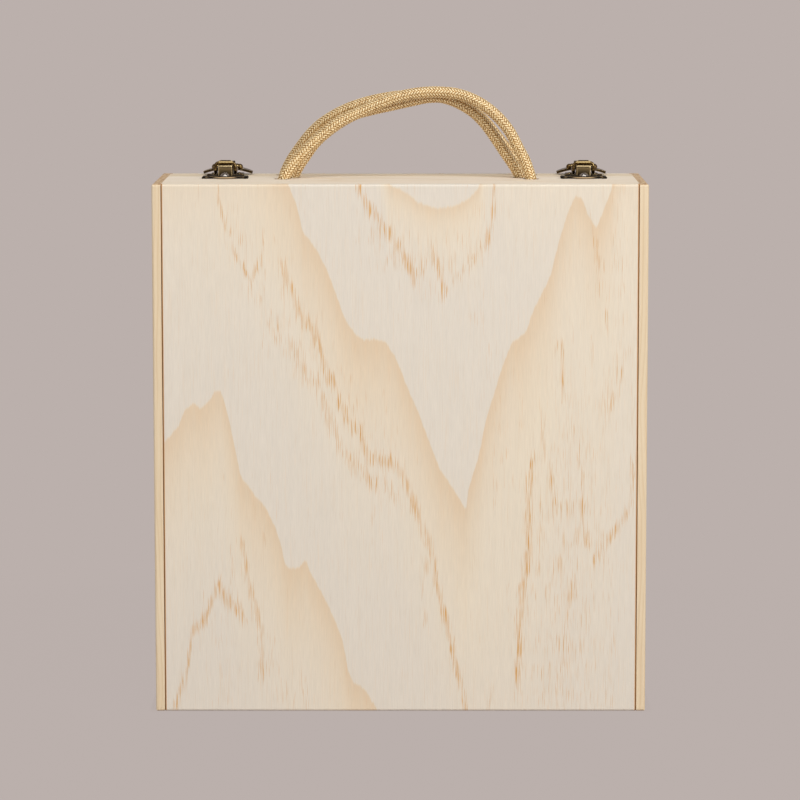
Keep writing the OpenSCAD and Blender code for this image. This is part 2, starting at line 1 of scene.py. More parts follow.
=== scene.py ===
"""Wooden case for three bottles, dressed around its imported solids.

The case stands on its foot at the origin, with +Z up and its front face looking along -Y.
Sizes in the classes are in millimetres; a finished mesh is in metres. Places on the top of the
case are measured across from the middle, backwards from the seam between body and lid, and up
from the top of the case, as they are in the part's source.
"""

import logging
import math
from dataclasses import dataclass, field
from enum import Enum
from typing import Sequence, Union

import bpy
import numpy as np
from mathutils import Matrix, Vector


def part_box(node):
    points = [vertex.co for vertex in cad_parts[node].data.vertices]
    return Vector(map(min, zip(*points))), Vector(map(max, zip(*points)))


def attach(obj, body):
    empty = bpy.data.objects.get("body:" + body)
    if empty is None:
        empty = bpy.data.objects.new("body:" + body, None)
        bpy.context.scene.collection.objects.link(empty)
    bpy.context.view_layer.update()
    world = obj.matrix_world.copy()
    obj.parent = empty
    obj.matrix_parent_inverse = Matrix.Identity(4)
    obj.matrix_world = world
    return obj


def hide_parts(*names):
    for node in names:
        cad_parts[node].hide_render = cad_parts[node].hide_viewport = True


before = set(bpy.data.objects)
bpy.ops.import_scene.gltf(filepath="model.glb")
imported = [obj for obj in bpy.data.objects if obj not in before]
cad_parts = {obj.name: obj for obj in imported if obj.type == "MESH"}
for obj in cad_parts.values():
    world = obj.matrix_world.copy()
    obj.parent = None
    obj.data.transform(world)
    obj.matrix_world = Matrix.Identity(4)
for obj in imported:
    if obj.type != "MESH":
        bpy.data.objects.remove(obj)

LOG = logging.getLogger("bottle_case")
Socket = Union[bpy.types.NodeSocket, float]
Colour = tuple[float, float, float]
Points = Sequence[tuple[float, ...]]

TOP_MM = 1000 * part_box("front_panel")[1].z
SEAM_MM = 500 * (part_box("body_left_side")[1].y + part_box("lid_left_side")[0].y)


class Side(Enum):
    """Which of the two latches."""

    LEFT = -1
    RIGHT = 1


class Grain(Enum):
    """The way that the fibres of a board run."""

    ACROSS = "x"
    UPRIGHT = "z"


def linear(red: float, green: float, blue: float) -> Colour:
    """Turns a display colour, 0 to 255, into the linear values that the shaders take.

    Args:
        red, green, blue: the display colour.

    Returns:
        The linear colour, 0 to 1.
    """
    c = np.array([red, green, blue]) / 255
    low = c / 12.92
    high = ((c + 0.055) / 1.055) ** 2.4
    return tuple(float(v) for v in np.where(c <= 0.04045, low, high))


def smoothstep(low: float, high: float, value: np.ndarray) -> np.ndarray:
    """Rises from 0 at low to 1 at high as 3 t^2 - 2 t^3, and is flat outside.

    Args:
        low, high: the ends of the rise.
        value: where it is wanted.

    Returns:
        The values, 0 to 1.
    """
    t = np.clip((value - low) / (high - low), 0, 1)
    return t * t * (3 - 2 * t)


@dataclass
class Surface:
    """A closed mesh under way: points in millimetres, faces as arrays of equal length, and values per point."""

    points: np.ndarray
    faces: list[np.ndarray]
    values: dict[str, np.ndarray] = field(default_factory=dict)

    def volume(self) -> float:
        """Six times the enclosed volume, as the sum of p0 . (p1 x p2) over the faces' triangles."""
        total = 0.0
        for group in self.faces:
            for k in range(1, group.shape[1] - 1):
                a, b, c = (self.points[group[:, i]] for i in (0, k, k + 1))
                total += float(np.einsum("ij,ij->", a, np.cross(b, c)))
        return total

    def outward(self) -> "Surface":
        """Turns the faces round where the enclosed volume comes out negative."""
        if self.volume() < 0:
            self.faces = [group[:, ::-1] for group in self.faces]
        return self

    def moved(self, x: float, y: float, z: float) -> "Surface":
        """The surface shifted by x, y and z."""
        return Surface(self.points + np.array([x, y, z]), self.faces, self.values)

    @staticmethod
    def joined(parts: Sequence["Surface"]) -> "Surface":
        """Puts surfaces together as one mesh of separate shells.

        Args:
            parts: the surfaces, all with the same named values.

        Returns:
            One surface with the points and faces of all.
        """
        starts = np.cumsum([0] + [len(p.points) for p in parts])
        faces = [group + start for p, start in zip(parts, starts) for group in p.faces]
        values = {k: np.concatenate([p.values[k] for p in parts]) for k in parts[0].values}
        return Surface(np.concatenate([p.points for p in parts]), faces, values)

    def to_object(self, name: str, material: bpy.types.Material) -> bpy.types.Object:
        """Writes the surface into a Blender object at the origin, in metres.

        Args:
            name: the piece's name.
            material: its finish.

        Returns:
            The new object, smooth shaded and linked to the scene.
        """
        mesh = bpy.data.meshes.new(name)
        rows = [row for group in self.faces for row in group.tolist()]
        mesh.from_pydata((self.points / 1000).tolist(), [], rows)
        mesh.polygons.foreach_set("use_smooth", np.ones(len(rows), bool))
        for key, value in self.values.items():
            layer = mesh.attributes.new(key, "FLOAT", "POINT")
            layer.data.foreach_set("value", value.astype(np.float32).ravel())
        mesh.materials.append(material)
        mesh.update()
        piece = bpy.data.objects.new(name, mesh)
        bpy.context.scene.collection.objects.link(piece)
        return piece


def grid(points: np.ndarray, wrap: bool = True, values: dict[str, np.ndarray] | None = None) -> Surface:
    """Joins a grid of points into quads: row i, column j to its neighbours i + 1 and j + 1.

    Args:
        points: rows x columns x 3. The columns go round where wrap is set, and then the first
            and the last row are closed by a flat face.
        wrap: whether the columns close on themselves.
        values: values on the same grid.

    Returns:
        The surface, turned outwards where it is closed.
    """
    rows, columns = points.shape[:2]
    j = np.arange(columns if wrap else columns - 1)
    i = np.arange(rows - 1)[:, None]
    right = (j + 1) % columns
    quads = np.stack([i * columns + j, i * columns + right, (i + 1) * columns + right,
                      (i + 1) * columns + j], axis=-1).reshape(-1, 4)
    flat_values = {k: v.reshape(-1) for k, v in (values or {}).items()}
    if not wrap:
        return Surface(points.reshape(-1, 3), [quads], flat_values)
    around = np.arange(columns)
    caps = [around[::-1][None], ((rows - 1) * columns + around)[None]]
    return Surface(points.reshape(-1, 3), [quads, *caps], flat_values).outward()


def smooth_path(points: Points, step: float, closed: bool = False) -> np.ndarray:
    """Carries a smooth curve through a few points, with each stretch a cubic between them.

    The slope at a point is the mean slope of its two neighbours (Catmull-Rom on chord length).
    The curve is then measured and cut into equal steps.

    Args:
        points: the points to pass through, 2 or 3 numbers each.
        step: the length of a step, in millimetres.
        closed: whether the curve returns to its start.

    Returns:
        The points of the curve, evenly spaced; a closed curve leaves out the repeated end.
    """
    knots = np.array(points, float)
    pad = 3
    if closed:
        knots = np.concatenate([knots[-pad:], knots, knots[:pad + 1]])
    chord = np.concatenate([[0], np.cumsum(np.linalg.norm(np.diff(knots, axis=0), axis=1))])
    slopes = np.gradient(knots, chord, axis=0)
    start, end = (chord[pad], chord[-pad - 1]) if closed else (chord[0], chord[-1])
    t = np.linspace(start, end, max(16, int((end - start) / min(step, 0.5)) * 4))
    i = np.clip(np.searchsorted(chord, t, side="right") - 1, 0, len(knots) - 2)
    span = (chord[i + 1] - chord[i])[:, None]
    u = (t - chord[i])[:, None] / span
    curve = ((1 + 2 * u) * (1 - u) ** 2 * knots[i] + u * (1 - u) ** 2 * span * slopes[i]
             + u * u * (3 - 2 * u) * knots[i + 1] + u * u * (u - 1) * span * slopes[i + 1])
    way = np.concatenate([[0], np.cumsum(np.linalg.norm(np.diff(curve, axis=0), axis=1))])
    count = max(8, int(round(way[-1] / step)))
    even = np.linspace(0, way[-1], count + 1)[:-1 if closed else None]
    return np.stack([np.interp(even, way, curve[:, k]) for k in range(knots.shape[1])], axis=1)


def path_length(path: np.ndarray) -> float:
    """The length along a path of points."""
    return float(np.linalg.norm(np.diff(path, axis=0), axis=1).sum())


def ring_frames(path: np.ndarray, reference: np.ndarray) -> tuple[np.ndarray, np.ndarray]:
    """Two directions square to a path at each of its points.

    Args:
        path: the points.
        reference: a direction, or one per point, that the first direction keeps close to.

    Returns:
        The reference less its part along the path, and the cross product of the path with it.
    """
    way = np.gradient(path, axis=0)
    way /= np.linalg.norm(way, axis=1)[:, None]
    first = np.broadcast_to(reference, path.shape)
    first = first - way * np.einsum("ij,ij->i", first, way)[:, None]
    first = first / np.linalg.norm(first, axis=1)[:, None]
    return first, np.cross(way, first)


def tube(path: np.ndarray, reference: np.ndarray, radius: np.ndarray | float, sides: int,
         values: dict[str, np.ndarray] | None = None) -> Surface:
    """Sweeps a ring along a path: point (i, k) is path i + radius (cos k first + sin k second).

    Args:
        path: the middle line.
        reference: the direction that fixes where each ring starts.
        radius: one radius, one per ring, or one per point of the grid.
        sides: the points of a ring.
        values: values on the grid of rings and points.

    Returns:
        A closed tube with flat ends.
    """
    first, second = ring_frames(path, reference)
    turn = np.arange(sides) * 2 * math.pi / sides
    around = np.cos(turn)[None, :, None] * first[:, None] + np.sin(turn)[None, :, None] * second[:, None]
    size = np.broadcast_to(np.asarray(radius, float).reshape(-1, 1) if np.ndim(radius) == 1 else radius,
                           (len(path), sides))
    return grid(path[:, None] + size[..., None] * around, values=values)


def revolve(profile: Points, sides: int, along_x: bool = False) -> Surface:
    """Turns a profile of (radius, height) about an axis: (r cos a, r sin a, h), or (h, r cos a, r sin a).

    Args:
        profile: the points from one end of the axis to the other.
        sides: the points of a ring.
        along_x: whether the axis lies across the case and not upright.

    Returns:
        A closed surface of revolution.
    """
    radius, height = np.array(profile, float).T
    turn = np.arange(sides) * 2 * math.pi / sides
    round_1, round_2 = radius[:, None] * np.cos(turn), radius[:, None] * np.sin(turn)
    level = np.broadcast_to(height[:, None], round_1.shape)
    axes = (level, round_1, round_2) if along_x else (round_1, round_2, level)
    return grid(np.stack(axes, axis=-1))


def on_top(x: float, y: float = 0.0, z: float = 0.0) -> tuple[float, float, float]:
    """A place on top of the case, from across, behind the seam and up to the row's frame, in millimetres."""
    return x, SEAM_MM + y, TOP_MM + z


class Graph:
    """The node tree of one material, written one node at a time."""

    def __init__(self, name: str) -> None:
        """Starts an empty material of that name."""
        self.material = bpy.data.materials.new(name)
        self.material.use_nodes = True
        self.tree = self.material.node_tree
        self.tree.nodes.clear()

    def node(self, kind: str, **settings: object) -> bpy.types.Node:
        """Adds a node.

        Args:
            kind: the node's type.
            settings: properties to set on it.

        Returns:
            The node.
        """
        made = self.tree.nodes.new(kind)
        for key, value in settings.items():
            setattr(made, key, value)
        return made

    def feed(self, socket: bpy.types.NodeSocket, value: Socket | Colour) -> None:
        """Links a socket, or sets its value where a number or a colour is given."""
        if isinstance(value, bpy.types.NodeSocket):
            self.tree.links.new(value, socket)
        elif isinstance(value, tuple) and socket.type == "RGBA":
            socket.default_value = (*value, 1.0)
        else:
            socket.default_value = value

    def math(self, operation: str, first: Socket, second: Socket = 0.0, clamp: bool = False) -> Socket:
        """The result of a Math node.

        Args:
            operation: the node's operation.
            first, second: its inputs.
            clamp: whether the result is held between 0 and 1.

        Returns:
            The value socket.
        """
        made = self.node("ShaderNodeMath", operation=operation, use_clamp=clamp)
        self.feed(made.inputs[0], first)
        self.feed(made.inputs[1], second)
        return made.outputs[0]

    def rise(self, value: Socket, low: Socket, high: Socket, to_low: float = 0.0, to_high: float = 1.0) -> Socket:
        """A smooth rise of the value from low to high.

        Args:
            value: what is mapped.
            low, high: the ends of the rise.
            to_low, to_high: the results at the ends.

        Returns:
            The value socket.
        """
        made = self.node("ShaderNodeMapRange", interpolation_type="SMOOTHSTEP")
        for key, number in zip(("Value", "From Min", "From Max", "To Min", "To Max"),
                               (value, low, high, to_low, to_high)):
            self.feed(made.inputs[key], number)
        return made.outputs["Result"]

    def place(self) -> tuple[Socket, Socket, Socket]:
        """The Object coordinates in millimetres, as three values."""
        split = self.node("ShaderNodeSeparateXYZ")
        self.feed(split.inputs[0], self.node("ShaderNodeTexCoord").outputs["Object"])
        return tuple(self.math("MULTIPLY", out, 1000.0) for out in split.outputs)

    def noise(self, x: Socket, y: Socket, z: Socket, stretch: tuple[float, float, float],
              detail: float = 2.0, roughness: float = 0.5) -> Socket:
        """Noise over a place, 0 to 1.

        Args:
            x, y, z: the place, in millimetres.
            stretch: how many features of noise there are to a millimetre along each axis.
            detail, roughness: the octaves of the noise and their strength.

        Returns:
            The value socket.
        """
        merged = self.node("ShaderNodeCombineXYZ")
        for socket, value, factor in zip(merged.inputs, (x, y, z), stretch):
            self.feed(socket, self.math("MULTIPLY", value, factor))
        made = self.node("ShaderNodeTexNoise", noise_dimensions="3D")
        self.feed(made.inputs["Vector"], merged.outputs[0])
        for key, value in (("Scale", 1.0), ("Detail", detail), ("Roughness", roughness)):
            self.feed(made.inputs[key], value)
        return made.outputs["Fac"]

    def curve(self, value: Socket, points: Points, straight: bool = False) -> Socket:
        """A drawn curve from 0..1 to 0..1.

        Args:
            value: where the curve is read.
            points: its points, from left to right.
            straight: whether straight lines join the points, and not a smooth curve.

        Returns:
            The value socket.
        """
        made = self.node("ShaderNodeFloatCurve")
        line = made.mapping.curves[0]
        for x, y in points[1:-1]:
            line.points.new(x, y)
        line.points[0].location = points[0]
        line.points[len(points) - 1].location = points[-1]
        for point in line.points:
            point.handle_type = "VECTOR" if straight else "AUTO_CLAMPED"
        made.mapping.update()
        self.feed(made.inputs["Value"], value)
        return made.outputs[0]

    def mix(self, factor: Socket, first: Socket | Colour, second: Socket | Colour, blend: str = "MIX") -> Socket:
        """Mixes two colours.

        Args:
            factor: 0 for the first, 1 for the second.
            first, second: the colours.
            blend: the way of mixing.

        Returns:
            The colour socket.
        """
        made = self.node("ShaderNodeMix", data_type="RGBA", blend_type=blend)
        self.feed(made.inputs[0], factor)
        self.feed(made.inputs[6], first)
        self.feed(made.inputs[7], second)
        return made.outputs[2]

    def surface(self, colour: Socket | Colour, roughness: Socket, metallic: float = 0.0,
                specular: float = 0.5, bump: Socket | None = None, bump_mm: float = 0.0,
                sheen: float = 0.0) -> bpy.types.Material:
        """Ends the material with a Principled shader.

        Args:
            colour, roughness: linked or plain.
            metallic, specular, sheen: plain numbers on the shader.
            bump: a height, 0 to 1.
            bump_mm: how high a bump of 1 is.

        Returns:
            The material.
        """
        shader = self.node("ShaderNodeBsdfPrincipled")
        self.feed(shader.inputs["Base Color"], colour)
        self.feed(shader.inputs["Roughness"], roughness)
        shader.inputs["Metallic"].default_value = metallic
        shader.inputs["Specular IOR Level"].default_value = specular
        shader.inputs["Sheen Weight"].default_value = sheen
        if bump is not None:
            relief = self.node("ShaderNodeBump")
            relief.inputs["Strength"].default_value = 1.0
            relief.inputs["Distance"].default_value = bump_mm / 1000
            self.feed(relief.inputs["Height"], bump)
            self.feed(shader.inputs["Normal"], relief.outputs[0])
        self.feed(self.node("ShaderNodeOutputMaterial").inputs[0], shader.outputs[0])
        return self.material


@dataclass(frozen=True)
class FigureBand:
    """A growth layer that the saw has cut: a sharp upper edge, and tan that fades downwards.

    The line holds heights over the foot at places across the panel, in millimetres.
    """

    line: Points
    fade: float
    strength: float


@dataclass(frozen=True)
class Streaks:
    """A traced row of upright resin streaks: half its width, its strength, and its line over the panel.

    The line holds places across the panel and heights over the foot, in millimetres.
    """

    half: float
    strength: float
    line: Points


OFF_TOP = 399.0
OFF_FOOT = -20.0

TOP_BAND = FigureBand((
    (-60, OFF_TOP), (-16, OFF_TOP), (-7, 352), (0, 350), (7, 345), (12, 341), (24, 337), (36, 339),
    (44, 343), (52, 351), (60, OFF_TOP)), 27, 0.85)
VALLEY_BAND = FigureBand((
    (-100, OFF_TOP), (-73, 352), (-68, 339), (-64, 322), (-55, 310), (-48, 296), (-41, 277), (-37, 265),
    (-30, 254), (-24, 250), (-17, 251), (-10, 249), (-4, 240), (0, 231), (6, 215), (12, 202), (18, 185),
    (26, 164), (35, 151), (42, 139), (44, 137), (45, 150), (50, 166), (53, 177), (56, 194), (59, 205),
    (63, 217), (66, 228), (71, 242), (74, 249), (83, 255), (87, 268), (93, 280), (99, 293), (104, 314),
    (110, 334), (115, 345), (119, 345), (123, 334), (129, 324), (134, 337), (139, 351), (146, OFF_TOP)), 88, 1.0)
HUMP_BAND = FigureBand((
    (-158, 180), (-156, 182), (-147, 192), (-143, 203), (-137, 208), (-132, 204), (-127, 209), (-123, 215),
    (-119, 217), (-117, 211), (-114, 199), (-111, 185), (-106, 159), (-97, 147), (-89, 137),
    (-83, 124), (-79, 111), (-77, 100), (-74, 97), (-68, 97), (-63, 103), (-60, 94), (-52, 80), (-46, 67),
    (-39, 50), (-35, 28), (-32, 20), (-24, 15), (-16, 2), (-12, OFF_FOOT)), 82, 0.95)

STREAKS = (
    Streaks(1.1, 0.95, ((-120, 353), (-119.5, 347), (-118, 339), (-115.5, 328), (-112, 317), (-109, 308),
            (-105.5, 301), (-102, 296), (-98, 291))),
    Streaks(1.1, 0.85, ((-90, 321), (-90, 312), (-92, 302), (-94.5, 296), (-97.5, 291))),
    Streaks(0.8, 0.6, ((-90.5, 300), (-89, 285), (-92, 278), (-92, 267))),
    Streaks(0.7, 0.35, ((-132.5, 353), (-132, 340))),
    Streaks(0.8, 0.4, ((-82.5, 321), (-81, 305), (-77, 299))),
    Streaks(2.3, 0.95, ((-77, 299), (-76, 290), (-70.5, 282), (-67.5, 273),
            (-64, 265), (-60, 260), (-56.5, 258), (-55, 250), (-53, 242), (-50, 234), (-47.5, 225),
            (-44.5, 220), (-42.5, 213), (-39.5, 206), (-35.5, 199), (-30.5, 194), (-27, 189), (-25.5, 183),
            (-24.5, 177), (-19, 171), (-9.5, 168), (-0.5, 164), (3.5, 156), (8, 145), (12.5, 128),
            (16.5, 118), (19.5, 110), (22.5, 96), (24.5, 85), (27.5, 72), (31, 57), (34, 44), (37, 29),
            (41.5, 15), (44, -2))),
    Streaks(2.8, 0.8, ((-85.5, 263), (-81, 254), (-77, 246), (-67.5, 242), (-64, 232), (-60, 224),
            (-56, 219), (-52, 213), (-50, 206), (-47, 198), (-43.5, 191), (-41.5, 183), (-36.5, 174),
            (-27, 163), (-13.5, 152), (-3, 147))),
    Streaks(1.1, 0.6, ((-11.5, 218), (-9, 200), (-7, 183), (-2, 177))),
    Streaks(4, 0.35, ((-73, 264), (-69.5, 246), (-67, 232))),
    Streaks(3.3, 0.35, ((-95, 286), (-89.5, 256), (-88, 246))),
    Streaks(2.4, 0.95, ((-27.5, 353), (-23, 341), (-16.5, 333), (-12.5, 326), (-6.5, 319), (-1, 309),
            (5.5, 302), (9, 291))),
    Streaks(2, 0.9, ((20.5, 306), (15.5, 300), (10.5, 291))),
    Streaks(2.3, 1, ((21, 306), (23.5, 299), (26.5, 290), (29, 280))),
    Streaks(1.5, 0.85, ((62, 353), (60.5, 327), (57.5, 314), (51.5, 308), (44, 302), (39, 296),
            (33.5, 287), (30.5, 280))),
    Streaks(0.9, 0.4, ((-28, 341), (-28, 316))),
    Streaks(1.7, 1.0, ((-120.5, 86), (-123.5, 78), (-126.5, 72), (-130.5, 63), (-135, 57), (-139, 52),
            (-140.5, 44), (-141.5, 32), (-144.5, 22), (-147.5, 13), (-151.5, -1))),
    Streaks(2.3, 1.0, ((-120, 86), (-118, 78), (-113.5, 74), (-108, 70), (-104, 63))),
    Streaks(1, 0.7, ((-113, 111), (-112.5, 89))),
    Streaks(2.3, 0.85, ((-105, 111), (-102.5, 91), (-99.5, 81), (-97, 74), (-94.5, 61), (-92.5, 53),
            (-92.5, 36), (-93.5, 24))),
    Streaks(1.1, 0.5, ((-110, 93), (-109.5, 77))),
    Streaks(4.7, 0.5, ((-87, 40), (-82, 23), (-76, 13), (-71.5, 2))),
    Streaks(2.3, 0.65, ((-65, 18), (-62.5, 0))),
    Streaks(1.1, 0.4, ((-132, 89), (-131.5, 74))),
    Streaks(1.5, 0.75, ((125.5, 330), (128.5, 316), (130.5, 302), (131, 279))),
    Streaks(0.9, 0.6, ((133.5, 310), (134, 285))),
    Streaks(1.6, 0.75, ((136, 277), (137, 256))),
    Streaks(0.8, 0.6, ((145.5, 308), (146, 280))),
    Streaks(5, 0.65, ((144.5, 232), (140.5, 215), (135.5, 200))),
    Streaks(0.9, 1, ((107, 253), (107.5, 213))),
    Streaks(0.8, 0.5, ((103.5, 247), (104, 236))),
    Streaks(0.8, 0.5, ((113.5, 263), (114, 245))),
    Streaks(0.9, 0.45, ((126.5, 252), (127.5, 219))),
    Streaks(1.1, 0.5, ((79.5, 211), (80, 192))),
    Streaks(2.5, 0.65, ((94, 198), (95, 174))),
    Streaks(0.8, 0.6, ((153.5, 217), (153.5, 182))),
    Streaks(1.3, 0.3, ((98, 256), (99.5, 242))),
    Streaks(2.9, 1, ((87, 167), (85.5, 143), (85, 128), (85, 101), (82, 81), (79, 59), (79, 40), (78, 13))),
    Streaks(1.5, 0.65, ((93, 143), (92.5, 101), (90, 79))),
    Streaks(1.9, 0.85, ((99.5, 166), (101, 149), (103.5, 136))),
    Streaks(1.2, 0.7, ((112, 160), (112.5, 145))),
    Streaks(1.5, 0.85, ((119, 176), (121, 162), (121, 143), (121.5, 126), (123, 116), (126.5, 110),
            (129.5, 105))),
    Streaks(1.9, 0.85, ((154.5, 168), (153.5, 141), (149.5, 131), (143, 125), (139, 118), (134.5, 110),
            (130.5, 105))),
    Streaks(2.8, 0.75, ((116, 97), (112, 74), (111, 57), (109, 39), (105, 13))),
    Streaks(1.3, 0.45, ((71.5, 86), (72, 67))),
    Streaks(3, 0.4, ((140, 91), (140.5, 67))),
    Streaks(8, 0.4, ((140, 54), (138.5, 12))),
    Streaks(2.7, 0.6, ((60, 17), (58.5, -2))),
    Streaks(1.1, 0.5, ((62, 174), (62.5, 140))),
    Streaks(2.8, 0.5, ((16.5, 101), (17, 59))),
    Streaks(1.5, 0.45, ((-18.5, 141), (-18, 116))),
    Streaks(6.7, 0.4, ((-9.5, 159), (-7.5, 145))),
    Streaks(0.9, 0.45, ((-97.5, 139), (-97, 125))),
    Streaks(0.9, 0.5, ((-90.5, 122), (-90, 110))),
    Streaks(0.9, 0.4, ((-116.5, 160), (-116, 150))),
    Streaks(6, 0.3, ((51.5, 276), (66, 195), (69.5, 161))),
    Streaks(6.7, 0.3, ((142.5, 350), (144.5, 276), (147.5, 236))),
    Streaks(27, 0.5, ((114, 150), (110, 20))),
    Streaks(5, 0.5, ((86, 160), (80, 10))),
    Streaks(9, 0.34, ((-76, 275), (-40, 215), (-12, 175))),
    Streaks(7, 0.5, ((-14, 320), (8, 303), (28, 296), (54, 318))),
    Streaks(10, 0.28, ((-124, 62), (-116, 10))),
    Streaks(6, 0.45, ((-108, 318), (-98, 292))),
)


@dataclass(frozen=True)
class FiguredPine:
    """Flat-sawn pale pine: tan flames with sharp upper edges, rows of resin streaks, fine upright fibres."""

    name: str = "figured_pine"
    mirrored: bool = False
    pale: Colour = linear(223, 214, 200)
    cream: Colour = linear(230, 217, 195)
    tan: Colour = linear(222, 199, 169)
    streak: Colour = linear(210, 158, 88)
    # painted shade: the dark brown that colours the narrow groove beside the sides, where shade falls
    seam: Colour = linear(188, 138, 86)
    half_width: float = 160.0
    height_low: float = -20.0
    height_span: float = 420.0

    def _line(self, g: Graph, across: Socket, line: Points) -> Socket:
        """Reads a line's height at a place across the panel.

        Args:
            g: the material under way.
            across: the place, 0 to 1 over the panel.
            line: the line, in millimetres.

        Returns:
            The height, in millimetres.
        """
        first, last = line[0], line[-1]
        ends = [(-self.half_width, first[1]), *line, (self.half_width, last[1])]
        scaled = [((x + self.half_width) / (2 * self.half_width), (z - self.height_low) / self.height_span)
                  for x, z in ends]
        height = g.curve(across, [(float(a), float(min(max(b, 0.0), 1.0))) for a, b in scaled], straight=True)
        return g.math("ADD", g.math("MULTIPLY", height, self.height_span), self.height_low)

    def build(self) -> bpy.types.Material:
        """Writes the node tree.

        A band's tan is a sharp step at its line times a fade over the depth below it. The panel's
        own attribute says how many streaks a place holds. They are a threshold on noise that is
        stretched upright, which falls as the attribute rises, so that a row breaks into dashes at
        its sides and runs together in its middle.

        Returns:
            The material.
        """
        g = Graph(self.name)
        x, y, z = g.place()
        if self.mirrored:
            x = g.math("MULTIPLY", x, -1.0)
        across = g.math("MULTIPLY", g.math("ADD", x, self.half_width), 1 / (2 * self.half_width), clamp=True)
        fibre = g.noise(x, y, z, (1.6, 0.3, 0.085), 3.0, 0.62)
        coarse = g.noise(x, y, z, (0.28, 0.1, 0.02), 2.0)
        cloud = g.noise(x, y, z, (0.02, 0.02, 0.008), 2.0)
        dash = g.noise(x, y, z, (2.5, 0.2, 0.055), 1.4, 0.5)
        mottle = g.noise(x, y, z, (0.35, 0.1, 0.045), 2.0)
        thread = g.noise(x, y, z, (1.2, 0.2, 0.024), 2.0, 0.6)
        jag = g.noise(x, y, z, (0.75, 0.2, 0.03), 3.0, 0.6)
        wobble = g.math("MULTIPLY", g.math("SUBTRACT", jag, 0.5), 16.0)

        tan = 0.0
        warm = 0.0
        reach = g.rise(x, 20.0, 90.0, 2.2, 4.6)
        for band in (TOP_BAND, VALLEY_BAND, HUMP_BAND):
            depth = g.math("SUBTRACT", g.math("ADD", self._line(g, across, band.line),
                                              g.math("MULTIPLY", wobble, 0.35)), z)
            edge = g.rise(depth, -1.2, 1.6)
            fade = g.curve(g.math("DIVIDE", depth, band.fade, clamp=True),
                           ((0, 1), (0.06, 0.93), (0.2, 0.66), (0.4, 0.36), (0.7, 0.12), (1, 0)))
            layer = g.math("MULTIPLY", g.math("MULTIPLY", edge, fade), band.strength)
            tan = g.math("MAXIMUM", tan, layer)
            far = g.rise(g.math("DIVIDE", depth, reach), band.fade, 0.0)
            warm = g.math("MAXIMUM", warm, g.math("MULTIPLY", edge, far))

        held = g.node("ShaderNodeAttribute", attribute_type="GEOMETRY", attribute_name="streaks").outputs["Fac"]
        threshold = g.math("SUBTRACT", 0.655, g.math("MULTIPLY", held, 0.19))
        dashes = g.rise(dash, threshold, g.math("ADD", threshold, 0.11))
        resin = g.math("MULTIPLY", g.math("ADD", g.math("MULTIPLY", held, 0.54), 0.34), g.rise(mottle, 0.15, 0.62, 0.45, 1.15))
        streak = g.math("MULTIPLY", dashes, resin, clamp=True)

        warm = g.math("MULTIPLY", warm, g.math("ADD", g.math("MULTIPLY", cloud, 0.9), 0.45), clamp=True)
        colour = g.mix(warm, self.pale, self.cream)
        tan = g.math("MULTIPLY", tan, g.math("ADD", g.math("MULTIPLY", coarse, 0.7), 0.6), clamp=True)
        colour = g.mix(tan, colour, self.tan)
        colour = g.mix(g.rise(thread, 0.5, 0.8, 0.0, 0.4), colour, self.tan)
        colour = g.mix(streak, colour, self.streak)
        # painted shade: the groove faces beside the sides take the dark brown colour
        colour = g.mix(g.rise(g.math("ABSOLUTE", x), 156.1, 156.7), colour, self.seam)
        shade = g.math("ADD", g.math("MULTIPLY", g.math("SUBTRACT", fibre, 0.5), 0.2),
                       g.math("MULTIPLY", g.math("SUBTRACT", coarse, 0.5), 0.07))
        value = g.math("ADD", shade, 1.0)
        bright = g.node("ShaderNodeVectorMath", operation="SCALE")
        g.feed(bright.inputs[0], colour)
        g.feed(bright.inputs["Scale"], value)
        return g.surface(bright.outputs[0], 0.62, specular=0.3, bump=fibre, bump_mm=0.05)


